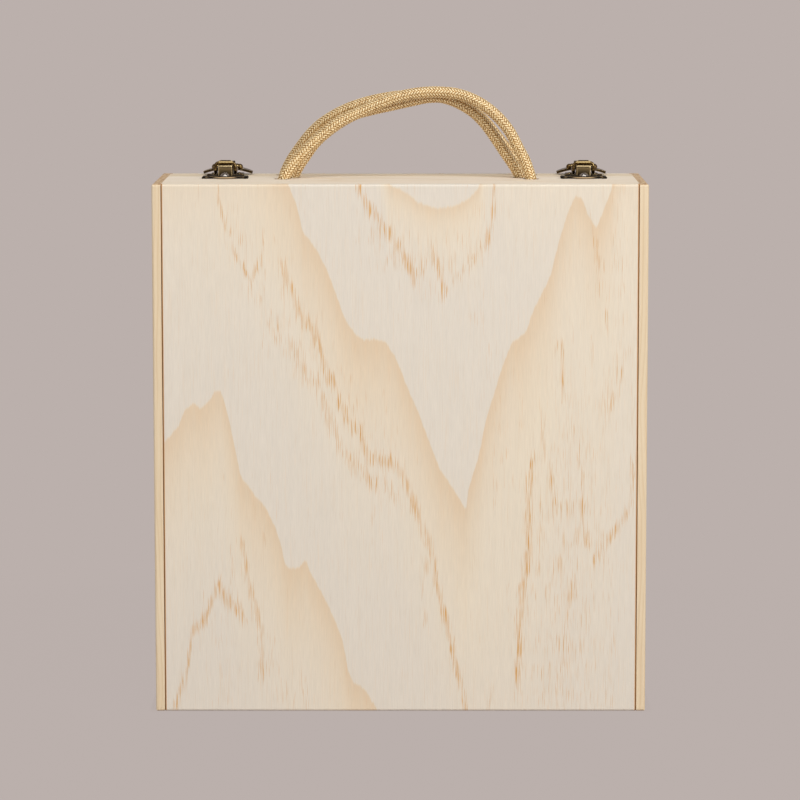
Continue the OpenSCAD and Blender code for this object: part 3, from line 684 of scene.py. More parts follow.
@dataclass
class FiguredPanel:
    """A front or back panel as a dense closed sheet over its packed board, which carries the streaks."""

    node: str
    body: str
    outwards: int
    groove: tuple[float, float] = (0.7, 2.2)
    ease: float = 1.5
    across_step: float = 0.8
    up_step: float = 2.2
    upright_ratio: float = 2.6
    jag: float = 2.4

    def streaks(self, x: np.ndarray, z: np.ndarray) -> np.ndarray:
        """How many streaks each place holds.

        For the nearest place on a line, d = sqrt(dx^2 + (dz / ratio)^2), as the dashes stand upright.
        The value is the strength times 1 - smoothstep(d / (1.7 half + 0.5)), and the strongest line counts. The
        height is first shifted by a random step per column, which makes the lines saw-toothed.

        Args:
            x, z: the places across the panel, as seen from its show side, and their heights.

        Returns:
            The values, 0 to 1, on the same grid.
        """
        teeth = np.random.default_rng(11).normal(0, self.jag, (len(x), 1))
        place = np.stack([x, (z + teeth) / self.upright_ratio], axis=-1)
        held = np.zeros(x.shape)
        for row in STREAKS:
            line = np.array(row.line, float) / [1, self.upright_ratio]
            near = np.full(x.shape, np.inf)
            for start, end in zip(line[:-1], line[1:]):
                way = end - start
                t = np.clip((place - start) @ way / (way @ way), 0, 1)
                near = np.minimum(near, np.linalg.norm(place - start - t[..., None] * way, axis=-1))
            held = np.maximum(held, row.strength * (1 - smoothstep(0.1, 1.0, near / (1.7 * row.half + 0.5))))
        return held

    def build(self, finish: bpy.types.Material) -> None:
        """Makes the panel inside the box of its solid.

        A row is the board's outline in depth and height at one place across; the first and the last
        row set the depth d back to g + d (t - g) / t, which makes the groove beside the long edges.

        Args:
            finish: its finish.
        """
        low, high = (1000 * np.array(tuple(corner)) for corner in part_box(self.node))
        thick, tall, half = high[1] - low[1], high[2] - low[2], (high[0] - low[0]) / 2
        face = low[1] if self.outwards < 0 else high[1]
        wide, deep = self.groove
        edge = half - wide
        count = int(round(2 * (edge - 0.8) / self.across_step))
        x = np.concatenate([[-half, -edge, 0.2 - edge], np.linspace(0.8 - edge, edge - 0.8, count),
                            [edge - 0.2, edge, half]])
        turn = np.linspace(0, math.pi / 2, 6)
        corner = self.ease * np.stack([1 - np.sin(turn), 1 - np.cos(turn)], axis=1)
        up = np.linspace(2 * self.ease, tall - 2 * self.ease, int(tall / self.up_step))
        rising = np.stack([np.zeros(len(up)), up], axis=1)
        outline = np.concatenate([[(thick - 0.1, 0), (self.ease + 0.1, 0)], corner, [(0, self.ease + 0.1)], rising,
                                  [(0, tall - self.ease - 0.1)], corner[::-1] * [1, -1] + [0, tall],
                                  [(self.ease + 0.1, tall), (thick - 0.1, tall), (thick, tall),
                                   (thick, tall - 0.1), (thick, 0.1), (thick, 0)]])
        depth = np.broadcast_to(outline[:, 0], (len(x), len(outline))).copy()
        depth[[0, -1]] = deep + depth[[0, -1]] * (thick - deep) / thick
        across = np.broadcast_to(x[:, None], depth.shape)
        height = np.broadcast_to(outline[:, 1], depth.shape)
        points = np.stack([across + (low[0] + high[0]) / 2, face - self.outwards * depth, height + low[2]], axis=-1)
        held = self.streaks(-self.outwards * across, height + low[2])
        panel = grid(points, values={"streaks": held}).to_object(f"{self.node}_sheet", finish)
        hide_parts(self.node)
        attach(panel, self.body)
        LOG.info("%s on %s, with %d rows of streaks", panel.name, self.body, len(STREAKS))


@dataclass(frozen=True)
class StraightPine:
    """Pine boards with straight grain: growth rings about a far heart, cut by fine fibres."""

    name: str
    grain: Grain
    light: Colour = linear(229, 212, 184)
    dark: Colour = linear(212, 183, 140)
    heart: tuple[float, float] = (60.0, -30.0)
    ring: float = 3.4
    seed: float = 0.0
    sawn: Colour = linear(206, 178, 141)
    sawn_dark: Colour = linear(176, 138, 100)

    def build(self) -> bpy.types.Material:
        """Writes the node tree.

        The rings are the distance from the heart in the plane across the fibres, with a slow
        wander along them. Each ring darkens slowly and ends sharply, as late wood does. A face that
        looks along the fibres is darker end grain.

        Returns:
            The material.
        """
        g = Graph(self.name)
        x, y, z = g.place()
        along, first, second = (x, y, z) if self.grain is Grain.ACROSS else (z, x, y)
        shifted = g.math("ADD", along, self.seed)
        wander = g.noise(shifted, first, second, (0.006, 0.02, 0.02), 2.0)
        one = g.math("SUBTRACT", first, self.heart[0])
        two = g.math("SUBTRACT", second, self.heart[1])
        reach = g.math("SQRT", g.math("ADD", g.math("MULTIPLY", one, one), g.math("MULTIPLY", two, two)))
        reach = g.math("ADD", reach, g.math("MULTIPLY", wander, 16.0))
        ring = g.math("FRACT", g.math("DIVIDE", reach, self.ring))
        late = g.curve(ring, ((0, 0.05), (0.35, 0.1), (0.7, 0.42), (0.9, 0.85), (0.96, 0.8), (1, 0.05)))
        fibre = g.noise(shifted, first, second, (0.02, 1.9, 1.9), 3.0, 0.6)
        coarse = g.noise(shifted, first, second, (0.01, 0.25, 0.25), 2.0)
        amount = g.math("ADD", g.math("MULTIPLY", late, 0.42),
                        g.math("MULTIPLY", g.math("SUBTRACT", coarse, 0.42), 0.9), clamp=True)
        colour = g.mix(amount, self.light, self.dark)
        facing = g.node("ShaderNodeSeparateXYZ")
        g.feed(facing.inputs[0], g.node("ShaderNodeTexCoord").outputs["Normal"])
        end_on = g.math("ABSOLUTE", facing.outputs[0 if self.grain is Grain.ACROSS else 2])
        blot = g.noise(shifted, first, second, (0.02, 0.5, 0.12), 3.0, 0.6)
        sawn = g.mix(g.rise(blot, 0.4, 0.66), self.sawn, self.sawn_dark)
        colour = g.mix(g.rise(end_on, 0.55, 0.9), colour, sawn)
        value = g.math("ADD", g.math("MULTIPLY", g.math("SUBTRACT", fibre, 0.5), 0.16), 1.0)
        bright = g.node("ShaderNodeVectorMath", operation="SCALE")
        g.feed(bright.inputs[0], colour)
        g.feed(bright.inputs["Scale"], value)
        return g.surface(bright.outputs[0], 0.62, specular=0.3, bump=fibre, bump_mm=0.05)


@dataclass(frozen=True)
class RubbedMetal:
    """Plated metal whose edges are rubbed to a brighter metal, by a rounded normal at the edges."""

    name: str
    plated: Colour
    rubbed: Colour
    rubbed_share: float
    roughness: float
    edge_mm: float = 0.35
    metallic: float = 1.0
    specular: float = 0.5

    def build(self) -> bpy.types.Material:
        """Writes the node tree: wear is 1 less the dot product of the plain and the rounded normal.

        Where a mesh carries its own values of painted highlight and rubbing, the larger of the two counts.

        Returns:
            The material.
        """
        g = Graph(self.name)
        x, y, z = g.place()
        bevel = g.node("ShaderNodeBevel", samples=6)
        bevel.inputs["Radius"].default_value = self.edge_mm / 1000
        dot = g.node("ShaderNodeVectorMath", operation="DOT_PRODUCT")
        g.feed(dot.inputs[0], bevel.outputs[0])
        g.feed(dot.inputs[1], g.node("ShaderNodeNewGeometry").outputs["Normal"])
        turned = g.math("SUBTRACT", 1.0, dot.outputs["Value"])
        patina = g.noise(x, y, z, (0.7, 0.7, 0.7), 4.0, 0.65)
        grit = g.noise(x, y, z, (5.0, 5.0, 5.0), 3.0, 0.6)
        wear_and_highlight = g.math("MULTIPLY", g.rise(turned, 0.01, 0.12), g.math("ADD", g.math("MULTIPLY", patina, 0.9), 0.3),
                      clamp=True)
        spots = g.math("MULTIPLY", g.rise(patina, 0.46, 0.7), self.rubbed_share)
        # the mesh's own values: painted highlights on the plate rim, the hook and the bail bar
        handled_and_highlight = g.node("ShaderNodeAttribute", attribute_type="GEOMETRY", attribute_name="wear_and_highlight").outputs["Fac"]
        wear_and_highlight = g.math("MAXIMUM", wear_and_highlight, g.math("MULTIPLY", handled_and_highlight, 0.9))
        colour = g.mix(g.math("MAXIMUM", wear_and_highlight, spots), self.plated, self.rubbed)
        rough = g.math("ADD", g.math("MULTIPLY", grit, 0.22), self.roughness - 0.1)
        return g.surface(colour, rough, self.metallic, self.specular, bump=grit, bump_mm=0.02)


@dataclass(frozen=True)
class GoldCord:
    """Shiny gold braid: yarn gold, with painted shade between the strands and painted highlights on their backs, by the
    braid's own height.
    """

    name: str = "gold_cord"
    # painted shade: the dark brown between the strands
    gap_shade: Colour = linear(98, 62, 20)
    deep: Colour = linear(173, 129, 70)
    middle: Colour = linear(218, 185, 129)
    # painted highlight: the pale gold on the backs of the strands
    bright: Colour = linear(247, 229, 187)

    def build(self) -> bpy.types.Material:
        """Writes the node tree from the tube's attribute of strand height.

        Returns:
            The material.
        """
        g = Graph(self.name)
        x, y, z = g.place()
        height = g.node("ShaderNodeAttribute", attribute_type="GEOMETRY", attribute_name="strand").outputs["Fac"]
        yarn = g.noise(x, y, z, (3.0, 3.0, 3.0), 2.0)
        bead = g.noise(x, y, z, (0.75, 0.75, 0.75), 1.0)
        level = g.math("ADD", height, g.math("MULTIPLY", g.math("SUBTRACT", yarn, 0.5), 0.3))
        level = g.math("ADD", level, g.math("MULTIPLY", g.math("SUBTRACT", bead, 0.5), 0.9))
        # colour by strand height: painted shade low in the gaps, painted highlight on the strand backs, yarn gold
        # between
        colour = g.mix(g.rise(level, 0.04, 0.4), self.gap_shade, self.deep)
        colour = g.mix(g.rise(level, 0.28, 0.64), colour, self.middle)
        colour = g.mix(g.rise(level, 0.6, 1.0), colour, self.bright)
        return g.surface(colour, 0.38, metallic=0.2, specular=0.6, bump=yarn, bump_mm=0.05)


@dataclass
class Finishes:
    """All finishes of the case, built once."""

    front_pine: bpy.types.Material = field(default_factory=lambda: FiguredPine().build())
    back_pine: bpy.types.Material = field(
        default_factory=lambda: FiguredPine(name="back_figured_pine", mirrored=True).build())
    side_pine: bpy.types.Material = field(default_factory=lambda: StraightPine(
        "side_pine", Grain.UPRIGHT, light=linear(230, 211, 180), dark=linear(208, 178, 136),
        heart=(-400.0, -60.0), ring=2.6).build())
    board_pine: bpy.types.Material = field(default_factory=lambda: StraightPine(
        "board_pine", Grain.ACROSS, light=linear(238, 224, 205), dark=linear(225, 204, 172),
        heart=(30.0, -160.0), ring=4.2, seed=900.0).build())
    # partly painted shade: the lid's boards are a darker copy of the body's pine, for the dimmer light over the back of
    # the top as well as the lid board's own tone
    lid_pine: bpy.types.Material = field(default_factory=lambda: StraightPine(
        "lid_board_pine", Grain.ACROSS, light=linear(228, 210, 184), dark=linear(214, 190, 156),
        heart=(90.0, -120.0), ring=3.6, seed=300.0).build())
    antique: bpy.types.Material = field(default_factory=lambda: RubbedMetal(
        "antique_brass", linear(56, 44, 30), linear(222, 198, 150), 0.1, 0.3, 0.5).build())
    bronze: bpy.types.Material = field(default_factory=lambda: RubbedMetal(
        "dark_bronze", linear(25, 20, 15), linear(210, 180, 140), 0.05, 0.6, 0.3, 0.1, 0.05).build())
    brass: bpy.types.Material = field(default_factory=lambda: RubbedMetal(
        "worn_brass", linear(92, 72, 42), linear(240, 212, 148), 0.35, 0.17, 0.5).build())
    steel: bpy.types.Material = field(default_factory=lambda: RubbedMetal(
        "bright_steel", linear(150, 144, 138), linear(214, 210, 204), 0.3, 0.22).build())
    cord: bpy.types.Material = field(default_factory=lambda: GoldCord().build())


@dataclass
class Braid:
    """The surface of a braided cord: two families of strands, each over two and under two."""

    radius: float = 3.8
    strands: int = 10
    pitch: float = 2.0
    relief: float = 0.44
    sides: int = 96
    step: float = 0.25

    def tube(self, path: np.ndarray, reference: np.ndarray) -> Surface:
        """Sweeps the braid along a path.

        With a the turn round the cord and s the way along it, one family is numbered by
        u = n a / 2 pi + s / pitch, the other by v = n a / 2 pi - s / pitch. Where the whole parts of
        u and v add to 0 or 1 beyond a multiple of four the first family is on top, else the second,
        so that each float is two cells long and the floats step round as a herringbone. A strand is
        high in the middle across it and dips towards its two ends, where it goes under.

        Args:
            path: the middle line, evenly spaced.
            reference: the direction that the braid starts from.

        Returns:
            The tube, with its strand height as a value of 0 to 1.
        """
        way = np.concatenate([[0], np.cumsum(np.linalg.norm(np.diff(path, axis=0), axis=1))])[:, None]
        turn = (np.arange(self.sides) / self.sides * self.strands)[None, :]
        u, v = turn + way / self.pitch, turn - way / self.pitch
        row, column = np.floor(u), np.floor(v)
        over = (row + column) % 4 < 2
        broad = np.where(over, u - row, v - column) - 0.5
        long = np.where(over, (v + row) % 4, (u + column) % 4 - 2) / 2 - 0.5
        height = np.cos(math.pi * broad) ** 0.8 * (0.3 + 0.7 * np.clip(np.cos(math.pi * long), 0, 1) ** 0.5)
        size = self.radius + 0.1 - self.relief * (1 - height)
        return tube(path, reference, size, self.sides, {"strand": height})


@dataclass
class WoundKnot:
    """Stopper knot: the cord's end wound three times round itself, with a short cut end below."""

    turns: float = 3.0
    turn_radius: float = 2.8
    winding_radius: float = 4.5
    height: float = 15.0
    board: float = 9.0

    def build(self, x: float, y: float) -> Surface:
        """Winds the knot under the top board.

        The winding is a helix whose radius draws in over its first and last 60 degrees.

        Args:
            x, y: the knot's place across the case and behind the seam.

        Returns:
            The winding and the core as one surface.
        """
        turn = np.linspace(0, self.turns * 2 * math.pi, 340)
        draw_in = smoothstep(0, 1.05, turn) * smoothstep(0, 1.05, turn[-1] - turn)
        reach = self.winding_radius * (0.45 + 0.55 * draw_in)
        drop = np.linspace(-self.turn_radius, self.turn_radius - self.height, len(turn))
        helix = np.stack([x + reach * np.cos(turn), y + reach * np.sin(turn), drop - self.board], axis=1)
        outwards = np.stack([np.cos(turn), np.sin(turn), np.zeros(len(turn))], axis=1)
        winding = Braid(self.turn_radius, strands=10, sides=60).tube(helix, outwards)
        depth = np.linspace(-self.board + 0.5, -self.board - self.height - 1.5, 60)
        core = np.stack([np.full(60, x), np.full(60, y), depth], axis=1)
        stub = Braid(3.6, sides=70).tube(core, np.array([1.0, 0.0, 0.0]))
        return Surface.joined([winding, stub]).moved(*on_top(0))


@dataclass
class RopeLoop:
    """A braided rope loop that goes down through two holes in the top, with a knot under each.

    The route runs from the left to the right: across from the middle of the holes, behind the
    seam and over the top of the case.
    """

    name: str
    body: str
    route: Points
    shift: float = 4.0

    def build(self, finishes: Finishes) -> None:
        """Args:
            finishes: the finishes of the case.
        """
        middle = smooth_path(self.route, Braid.step)
        path = middle + np.array(on_top(self.shift))
        rope = Braid().tube(path, np.array([0.0, 1.0, 0.0])).to_object(f"{self.name}_braid", finishes.cord)
        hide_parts(self.name)
        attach(rope, self.body)
        ends = (self.route[0], self.route[-1])
        wound = Surface.joined([WoundKnot().build(self.shift + end[0], end[1]) for end in ends])
        knots = wound.to_object(f"{self.name}_wound_knots", finishes.cord)
        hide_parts(f"{self.name}_knots")
        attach(knots, self.body)
        LOG.info("%s: %.0f mm of braided rope on %s", self.name, path_length(path), self.body)


FRONT_ROUTE = (
    (-84.5, -24, -9), (-83.8, -24, -4.5), (-82.2, -24, 0.5), (-78, -23.5, 7.5), (-71.5, -23, 15),
    (-65, -22.5, 22), (-58, -22, 28), (-51.5, -22, 33.5), (-45, -21.5, 38), (-31.5, -21, 44.5),
    (-18, -21, 50.5), (-4.5, -21, 55), (9, -21, 57.5), (22.5, -21, 58), (35, -21, 56.5),
    (42.5, -21.5, 54), (49.5, -21.5, 50.5), (56, -22, 46), (62.5, -22.5, 40), (68.5, -22.5, 32.5),
    (75.5, -23, 19.5), (79, -23.5, 13), (81.5, -24, 6.5), (83.2, -24, 0.5), (84.2, -24, -4.5),
    (84.5, -24, -9))
MIDDLE_ROUTE = (
    (-78, -10, -9), (-77.6, -10, -4.5), (-76.4, -10, 0), (-74, -10.5, 5.5), (-68.5, -11, 14),
    (-61.5, -11, 23.5), (-52, -11.5, 32), (-41.5, -11.5, 39), (-33.5, -12, 43), (-24.5, -12, 45.5),
    (-11, -12, 48.5), (2.5, -12, 51.5), (15.5, -12, 54), (23, -12, 54), (30.5, -12, 52),
    (38, -12, 48.5), (45.5, -11.5, 43.5), (52.5, -11.5, 36.5), (59.5, -11.5, 27), (66.5, -11, 16.5),
    (72, -10.5, 8.5), (75.8, -10, 1.8), (77.5, -10, -3.5), (78, -10, -9))
REAR_ROUTE = (
    (-84.5, 12, -9), (-84, 12, -4.5), (-83.2, 11.9, 0), (-81, 11, 5.5), (-77.5, 9.2, 11.8),
    (-72.5, 7, 19), (-66, 4, 27.5), (-59, 2, 34.5), (-52, 0, 39.5), (-45, -1.5, 43.5),
    (-38.5, -2.5, 46.5), (-31.5, -3, 49), (-18, -4, 52.5), (-4.5, -4, 54.5), (5.5, -4, 55),
    (16, -4, 55), (26, -3.5, 53.5), (32.5, -3, 51.5), (39.5, -2.5, 48), (46.5, -1.5, 43),
    (53, 0, 37), (60, 2, 28.5), (67, 5, 19.5), (73, 7.8, 13), (78, 10.2, 7.5), (81.3, 11.5, 2.5),
    (83.2, 12, -2.5), (84, 12, -9))


@dataclass
class Screw:
    """A domed screw head with its recess, on a plain shank."""

    head_radius: float
    head_height: float
    shank_radius: float
    shank_length: float
    recess_half: float
    recess_width: float
    crossed: bool = True
    rings: int = 30
    sides: int = 96

    def build(self, x: float, y: float, z: float) -> Surface:
        """Turns the screw and sinks the recess into its head.

        The head is a ball of radius (r^2 + h^2) / 2h. The recess goes down as far as the place lies
        inside a bar, or inside two crossed bars, with a smooth edge.

        Args:
            x, y, z: the middle of the head's flat, on top of the case.

        Returns:
            The screw.
        """
        ball = (self.head_radius ** 2 + self.head_height ** 2) / (2 * self.head_height)
        radii = np.linspace(self.head_radius, 0.03, self.rings)
        dome = np.stack([radii, self.head_height - ball + np.sqrt(ball ** 2 - radii ** 2)], axis=1)
        shank = [(0.02, -self.shank_length), (self.shank_radius * 0.6, -self.shank_length),
                 (self.shank_radius, 1.2 - self.shank_length), (self.shank_radius, 0.0),
                 (self.head_radius - 0.05, 0.0)]
        screw = revolve([*shank, *dome.tolist()], self.sides)
        px, py, pz = screw.points.T
        bar = lambda along, over: (smoothstep(self.recess_half, self.recess_half - 0.15, np.abs(along))
                                   * smoothstep(self.recess_width, self.recess_width - 0.12, np.abs(over)))
        deep = np.maximum(bar(px, py), bar(py, px)) if self.crossed else bar(px, py)
        screw.points[:, 2] = np.where(pz > 0.05, pz - 0.45 * self.head_height * deep, pz)
        return screw.moved(*on_top(x, y, z))


@dataclass
class Latch:
    """One toggle latch: hook plate on the body, lever and bail on the lid. Measured from its own middle."""

    side: Side
    spread: float = 120.5
    shift: float = 2.5
    plate_y: float = -17.0
    hook_y: float = -18.0
    hook_width: float = 9.4
    hook_height: float = 9.0
    hook_thick: float = 1.1
    wire_radius: float = 1.15
    wire_half: float = 7.8
    bend: float = 2.6
    lever_pivot: tuple[float, float] = (4.0, 7.2)
    bail_pivot: tuple[float, float] = (9.0, 5.8)
    cheek_x: float = 5.35
    cheek_thick: float = 0.9
    leaf_half: float = 17.0
    leaf_start: float = 11.7
    leaf_end: float = 24.5
    leaf_height: float = 5.4
    leaf_bend: float = 44.0
    crown: float = 10.1

    @property
    def middle(self) -> float:
        """The latch's place across the case."""
        return self.shift + self.side.value * self.spread

    @property
    def name(self) -> str:
        """The first word of the names of its pieces."""
        return self.side.name.lower()

    def plate(self) -> Surface:
        """The hook plate: rings drawn in from a spline outline, with a raised rim and two domed wings.

        A point is the middle plus t times the outline, and its height is a profile over t plus a
        bell about each wing's screw.

        Returns:
            The plate.
        """
        half = ((0, -9.3), (3.6, -8.8), (6.2, -6.9), (8.6, -5.9), (11.5, -5.7), (14.2, -6.6), (15.4, -5.2),
                (15.2, -1.5), (15.2, 2.5), (15.3, 5.6), (13.6, 6.8), (10.2, 5.2), (7.2, 5.3), (4.0, 6.7), (0, 7.0))
        outline = smooth_path([*half, *((-x, y) for x, y in half[-2:0:-1])], 0.45, closed=True)
        profile = np.array([(0.02, 1.75), (0.2, 1.75), (0.4, 1.7), (0.6, 1.55), (0.75, 1.35), (0.85, 1.15),
                            (0.9, 1.1), (0.93, 1.25), (0.955, 1.35), (0.975, 1.3), (0.99, 1.1), (1.0, 0.8),
                            (1.0, 0.1), (0.995, 0.02)])
        flat = profile[:, :1, None] * outline[None]
        level = np.broadcast_to(profile[:, 1:], flat.shape[:2])
        bells = sum(np.exp(-((flat[..., 0] - way * 11) ** 2 + (flat[..., 1] - 1.6) ** 2) / 16) for way in (-1, 1))
        inner = smoothstep(0.97, 0.7, profile[:, :1])
        points = np.stack([flat[..., 0], flat[..., 1], level + 0.9 * bells * inner], axis=-1)
        # painted highlight: the middle of the front rim is made brighter
        rim = smoothstep(0.95, 0.985, profile[:, :1]) * smoothstep(0.3, 0.9, profile[:, 1:])
        wear_and_highlight = 0.75 * rim * smoothstep(9.0, 4.0, np.abs(flat[..., 0]))
        return grid(points, values={"wear_and_highlight": wear_and_highlight}).moved(*on_top(self.middle, self.plate_y))

    def hook(self) -> Surface:
        """The bent strip of the hook: a rounded bar section carried up, back and up again.

        Returns:
            The strip.
        """
        y0, top, t = self.hook_y + self.hook_thick / 2, self.hook_height - self.hook_thick / 2, self.hook_thick
        back = -12.95
        run = [(y0, 0.3), (y0, 3), (y0, 6), (y0, top - 1.1), (y0 + 0.3, top - 0.3), (y0 + 1.1, top),
               (y0 + 2.2, top), (back - 1.2, top), (back - 0.3, top + 0.3), (back, top + 1.2), (back, top + 3.4)]
        bends = smooth_path(run, 0.25)
        path = np.stack([np.zeros(len(bends)), bends[:, 0], bends[:, 1]], axis=1)
        half, thick = self.hook_width / 2, t / 2
        turn = np.linspace(0, 2 * math.pi, 48, endpoint=False)
        ease = lambda value: np.sign(value) * np.abs(value) ** 0.35
        across, through = half * ease(np.cos(turn)), thick * ease(np.sin(turn))
        through = through + 0.22 * np.clip(np.sign(np.sin(turn)), 0, 1) * (np.abs(across) / half) ** 8
        first, second = ring_frames(path, np.array([1.0, 0.0, 0.0]))
        narrow = (1 - 0.25 * smoothstep(0.94, 1.0, np.linspace(0, 1, len(path))) ** 2)[:, None, None]
        points = path[:, None] + narrow * across[None, :, None] * first[:, None] \
            + through[None, :, None] * second[:, None]
        # painted highlights: the side edges and the top bend of the strip are made brighter, and the front face lighter
        # towards its top as a painted reflection
        bent = smoothstep(top - 1.7, top - 1.0, bends[:, 1]) * smoothstep(y0 + 1.2, y0 + 0.7, bends[:, 0])
        front = 0.42 * smoothstep(1.5, top - 0.5, bends[:, 1]) * (bends[:, 0] < y0 + 0.4)
        wear_and_highlight = np.maximum(0.8 * smoothstep(0.8, 0.93, np.abs(across) / half)[None, :],
                          np.maximum(0.45 * bent, front)[:, None])
        return grid(points, values={"wear_and_highlight": wear_and_highlight}).moved(*on_top(self.middle))

    def wire(self) -> Surface:
        """The bail: one wire from eye to eye, up over the hook, with an eye round each end of its pin.

        Returns:
            The wire and the two eyes.
        """
        leg, r = self.wire_half - self.wire_radius, self.bend
        bar_y, bar_z = self.hook_y + self.hook_thick + 0.2 + self.wire_radius, self.hook_height + 0.1 + self.wire_radius
        elbow = np.array([bar_y + r, 2.2 + self.wire_radius + r])
        pivot = np.array(self.bail_pivot)
        way = pivot - elbow
        run = math.sqrt(way @ way - r * r)
        slope = math.atan2(way[1], way[0]) + math.atan2(r, run)
        bend = np.linspace(math.pi + 0.0, 1.5 * math.pi + slope, 24)
        low = np.stack([elbow[0] + r * np.cos(bend), elbow[1] + r * np.sin(bend)], axis=1)
        stretch = np.linspace(0, 1, 30)[1:, None]
        back = low[-1] + stretch * (pivot - low[-1])
        leg_rise = np.stack([np.full(12, bar_y), np.linspace(elbow[1], bar_z - r, 12)], axis=1)
        side = np.concatenate([back[::-1], low[::-1], leg_rise[1:-1]])
        right = np.column_stack([np.full(len(side), leg), side])
        corner = np.linspace(0, math.pi / 2, 20)
        arch = np.column_stack([leg - r + r * np.cos(corner), np.full(20, bar_y), bar_z - r + r * np.sin(corner)])
        half = np.concatenate([right, arch])
        path = np.concatenate([half, (half * [-1, 1, 1])[::-1]])
        upper = smoothstep(elbow[1] + 0.5, bar_z - r - 0.3, path[:, 2]) * (path[:, 1] < bar_y + 0.2)
        turn_round = np.where(path[:, :1] < 0, -1.0, 1.0)
        sideways = np.array([[1.0, 0.0, 0.0]]) * (1 - upper[:, None]) * turn_round
        forward = np.array([[0.0, -1.0, 0.0]]) * upper[:, None]
        turn = np.arange(24) * 2 * math.pi / 24
        # painted highlight: a bright band along the upper front of the bail's bar, set by the turn round the wire
        bar_highlight = 0.6 * smoothstep(leg - 1.2, leg - 2.6, np.abs(path[:, :1])) * upper[:, None]
        wear_and_highlight = bar_highlight * smoothstep(0.62, 0.92, np.cos(turn - 1.0))[None, :]
        wire = tube(path, sideways + forward, self.wire_radius, 24, {"wear_and_highlight": wear_and_highlight})
        eye = revolve([(1.08, -0.9), (1.9, -1.0), (2.2, -0.8), (2.3, -0.4), (2.3, 0.4), (2.2, 0.8),
                       (1.9, 1.0), (1.08, 0.9)], 40, along_x=True)
        eye.values["wear_and_highlight"] = np.zeros(len(eye.points))
        eyes = [eye.moved(way * leg, *self.bail_pivot) for way in (-1, 1)]
        return Surface.joined([wire, *eyes]).moved(*on_top(self.middle))

    def wire_pin(self) -> Surface:
        """The bail's pin with a ball at each end, turned as one profile across the case.

        Returns:
            The pin.
        """
        reach, ball = self.wire_half + 0.1, 2.1
        bow = np.linspace(0.02, math.pi / 2 + 0.9, 18)
        cap = np.stack([ball * np.sin(bow), reach + 0.6 + ball * np.cos(bow)], axis=1)
        half = [(1.0, 0.0), (1.0, 7.7), *cap[::-1].tolist()]
        profile = [(r, -h) for r, h in half[:0:-1]] + half
        return revolve(profile, 36, along_x=True).moved(*on_top(self.middle, *self.bail_pivot))

    def lever_sheet(self) -> Surface:
        """The upper sheet of the lever, as a function of the way back (v) and across (u).

        Its half width is the neck's, then swells to the wide end and rounds off at the rear corners.
        Its height falls from the crown to the wide end, less x^2 / (2 bend) for the arch.

        Returns:
            An open sheet, to be given its thickness downwards.
        """
        v = self.lever_pivot[0] + 0.35 + (self.leaf_end - self.lever_pivot[0] - 0.35) * np.linspace(0, 1, 72)
        neck = self.cheek_x
        swell = smoothstep(self.leaf_start, self.leaf_start + 4.2, v)
        corner = np.sqrt(np.clip(1 - np.clip((v - 19.0) / 5.6, 0, 0.995) ** 2.4, 0, 1))
        half = neck + (self.leaf_half - neck) * swell * (0.3 + 0.7 * corner)
        u = np.linspace(-1, 1, 49)
        x = half[:, None] * u[None, :]
        fall = smoothstep(7.6, 13.6, v)[:, None]
        arch = x * x / (2 * self.leaf_bend) * smoothstep(10.0, 14.0, v)[:, None]
        bead = 0.35 * np.exp(-((v[:, None] - 17.2) / 2.6) ** 2) * np.exp(-(x / 9.0) ** 2)
        z = self.crown + (self.leaf_height - self.crown) * fall - arch + bead
        y = np.broadcast_to(v[:, None], x.shape)
        return grid(np.stack([x, y, z], axis=-1), wrap=False).moved(*on_top(self.middle))

    def cheeks(self) -> Surface:
        """The lever's two side plates: the outline is how far a ray from inside leaves a row of circles.

        For a circle at c with radius r the ray d from o leaves it at t = m + sqrt(r^2 - |c - o|^2 + m^2),
        with m = (c - o) . d, and the outline takes the farthest.

        Returns:
            The two plates with eased edges.
        """
        inside = np.array([8.0, 6.7])
        circles = np.array([(4.0, 7.2, 2.4), (9.0, 5.8, 2.4), (5.9, 8.2, 1.75), (7.6, 8.1, 1.75), (11.4, 5.4, 1.3)])
        turn = np.arange(72) * 2 * math.pi / 72
        ray = np.stack([np.cos(turn), np.sin(turn)], axis=1)
        offset = circles[:, :2] - inside
        m = ray @ offset.T
        inner = circles[:, 2] ** 2 - (offset ** 2).sum(1) + m ** 2
        leave = np.where(inner > 0, m + np.sqrt(np.clip(inner, 0, None)), 0).max(axis=1)
        plates = []
        for way in (-1, 1):
            levels = [(0.05, 0.0), (0.94, 0.0), (0.98, 0.08), (1.0, 0.25), (1.0, self.cheek_thick - 0.25),
                      (0.98, self.cheek_thick - 0.08), (0.94, self.cheek_thick), (0.05, self.cheek_thick)]
            rows = [np.column_stack([np.full(72, way * (self.cheek_x - t)), inside + s * leave[:, None] * ray])
                    for s, t in levels]
            plates.append(grid(np.stack(rows)))
        return Surface.joined(plates).moved(*on_top(self.middle))

    def _finish(self, surface: Surface, name: str, material: bpy.types.Material, body: str, node: str) -> bpy.types.Object:
        """Puts one piece of the latch in place of its solid.

        Args:
            surface: its mesh.
            name, material, body, node: its name and finish, what it rides on and the solid that it stands for.

        Returns:
            The object.
        """
        piece = surface.to_object(f"{self.name}_{name}", material)
        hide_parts(node)
        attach(piece, body)
        LOG.info("%s on %s", piece.name, body)
        return piece

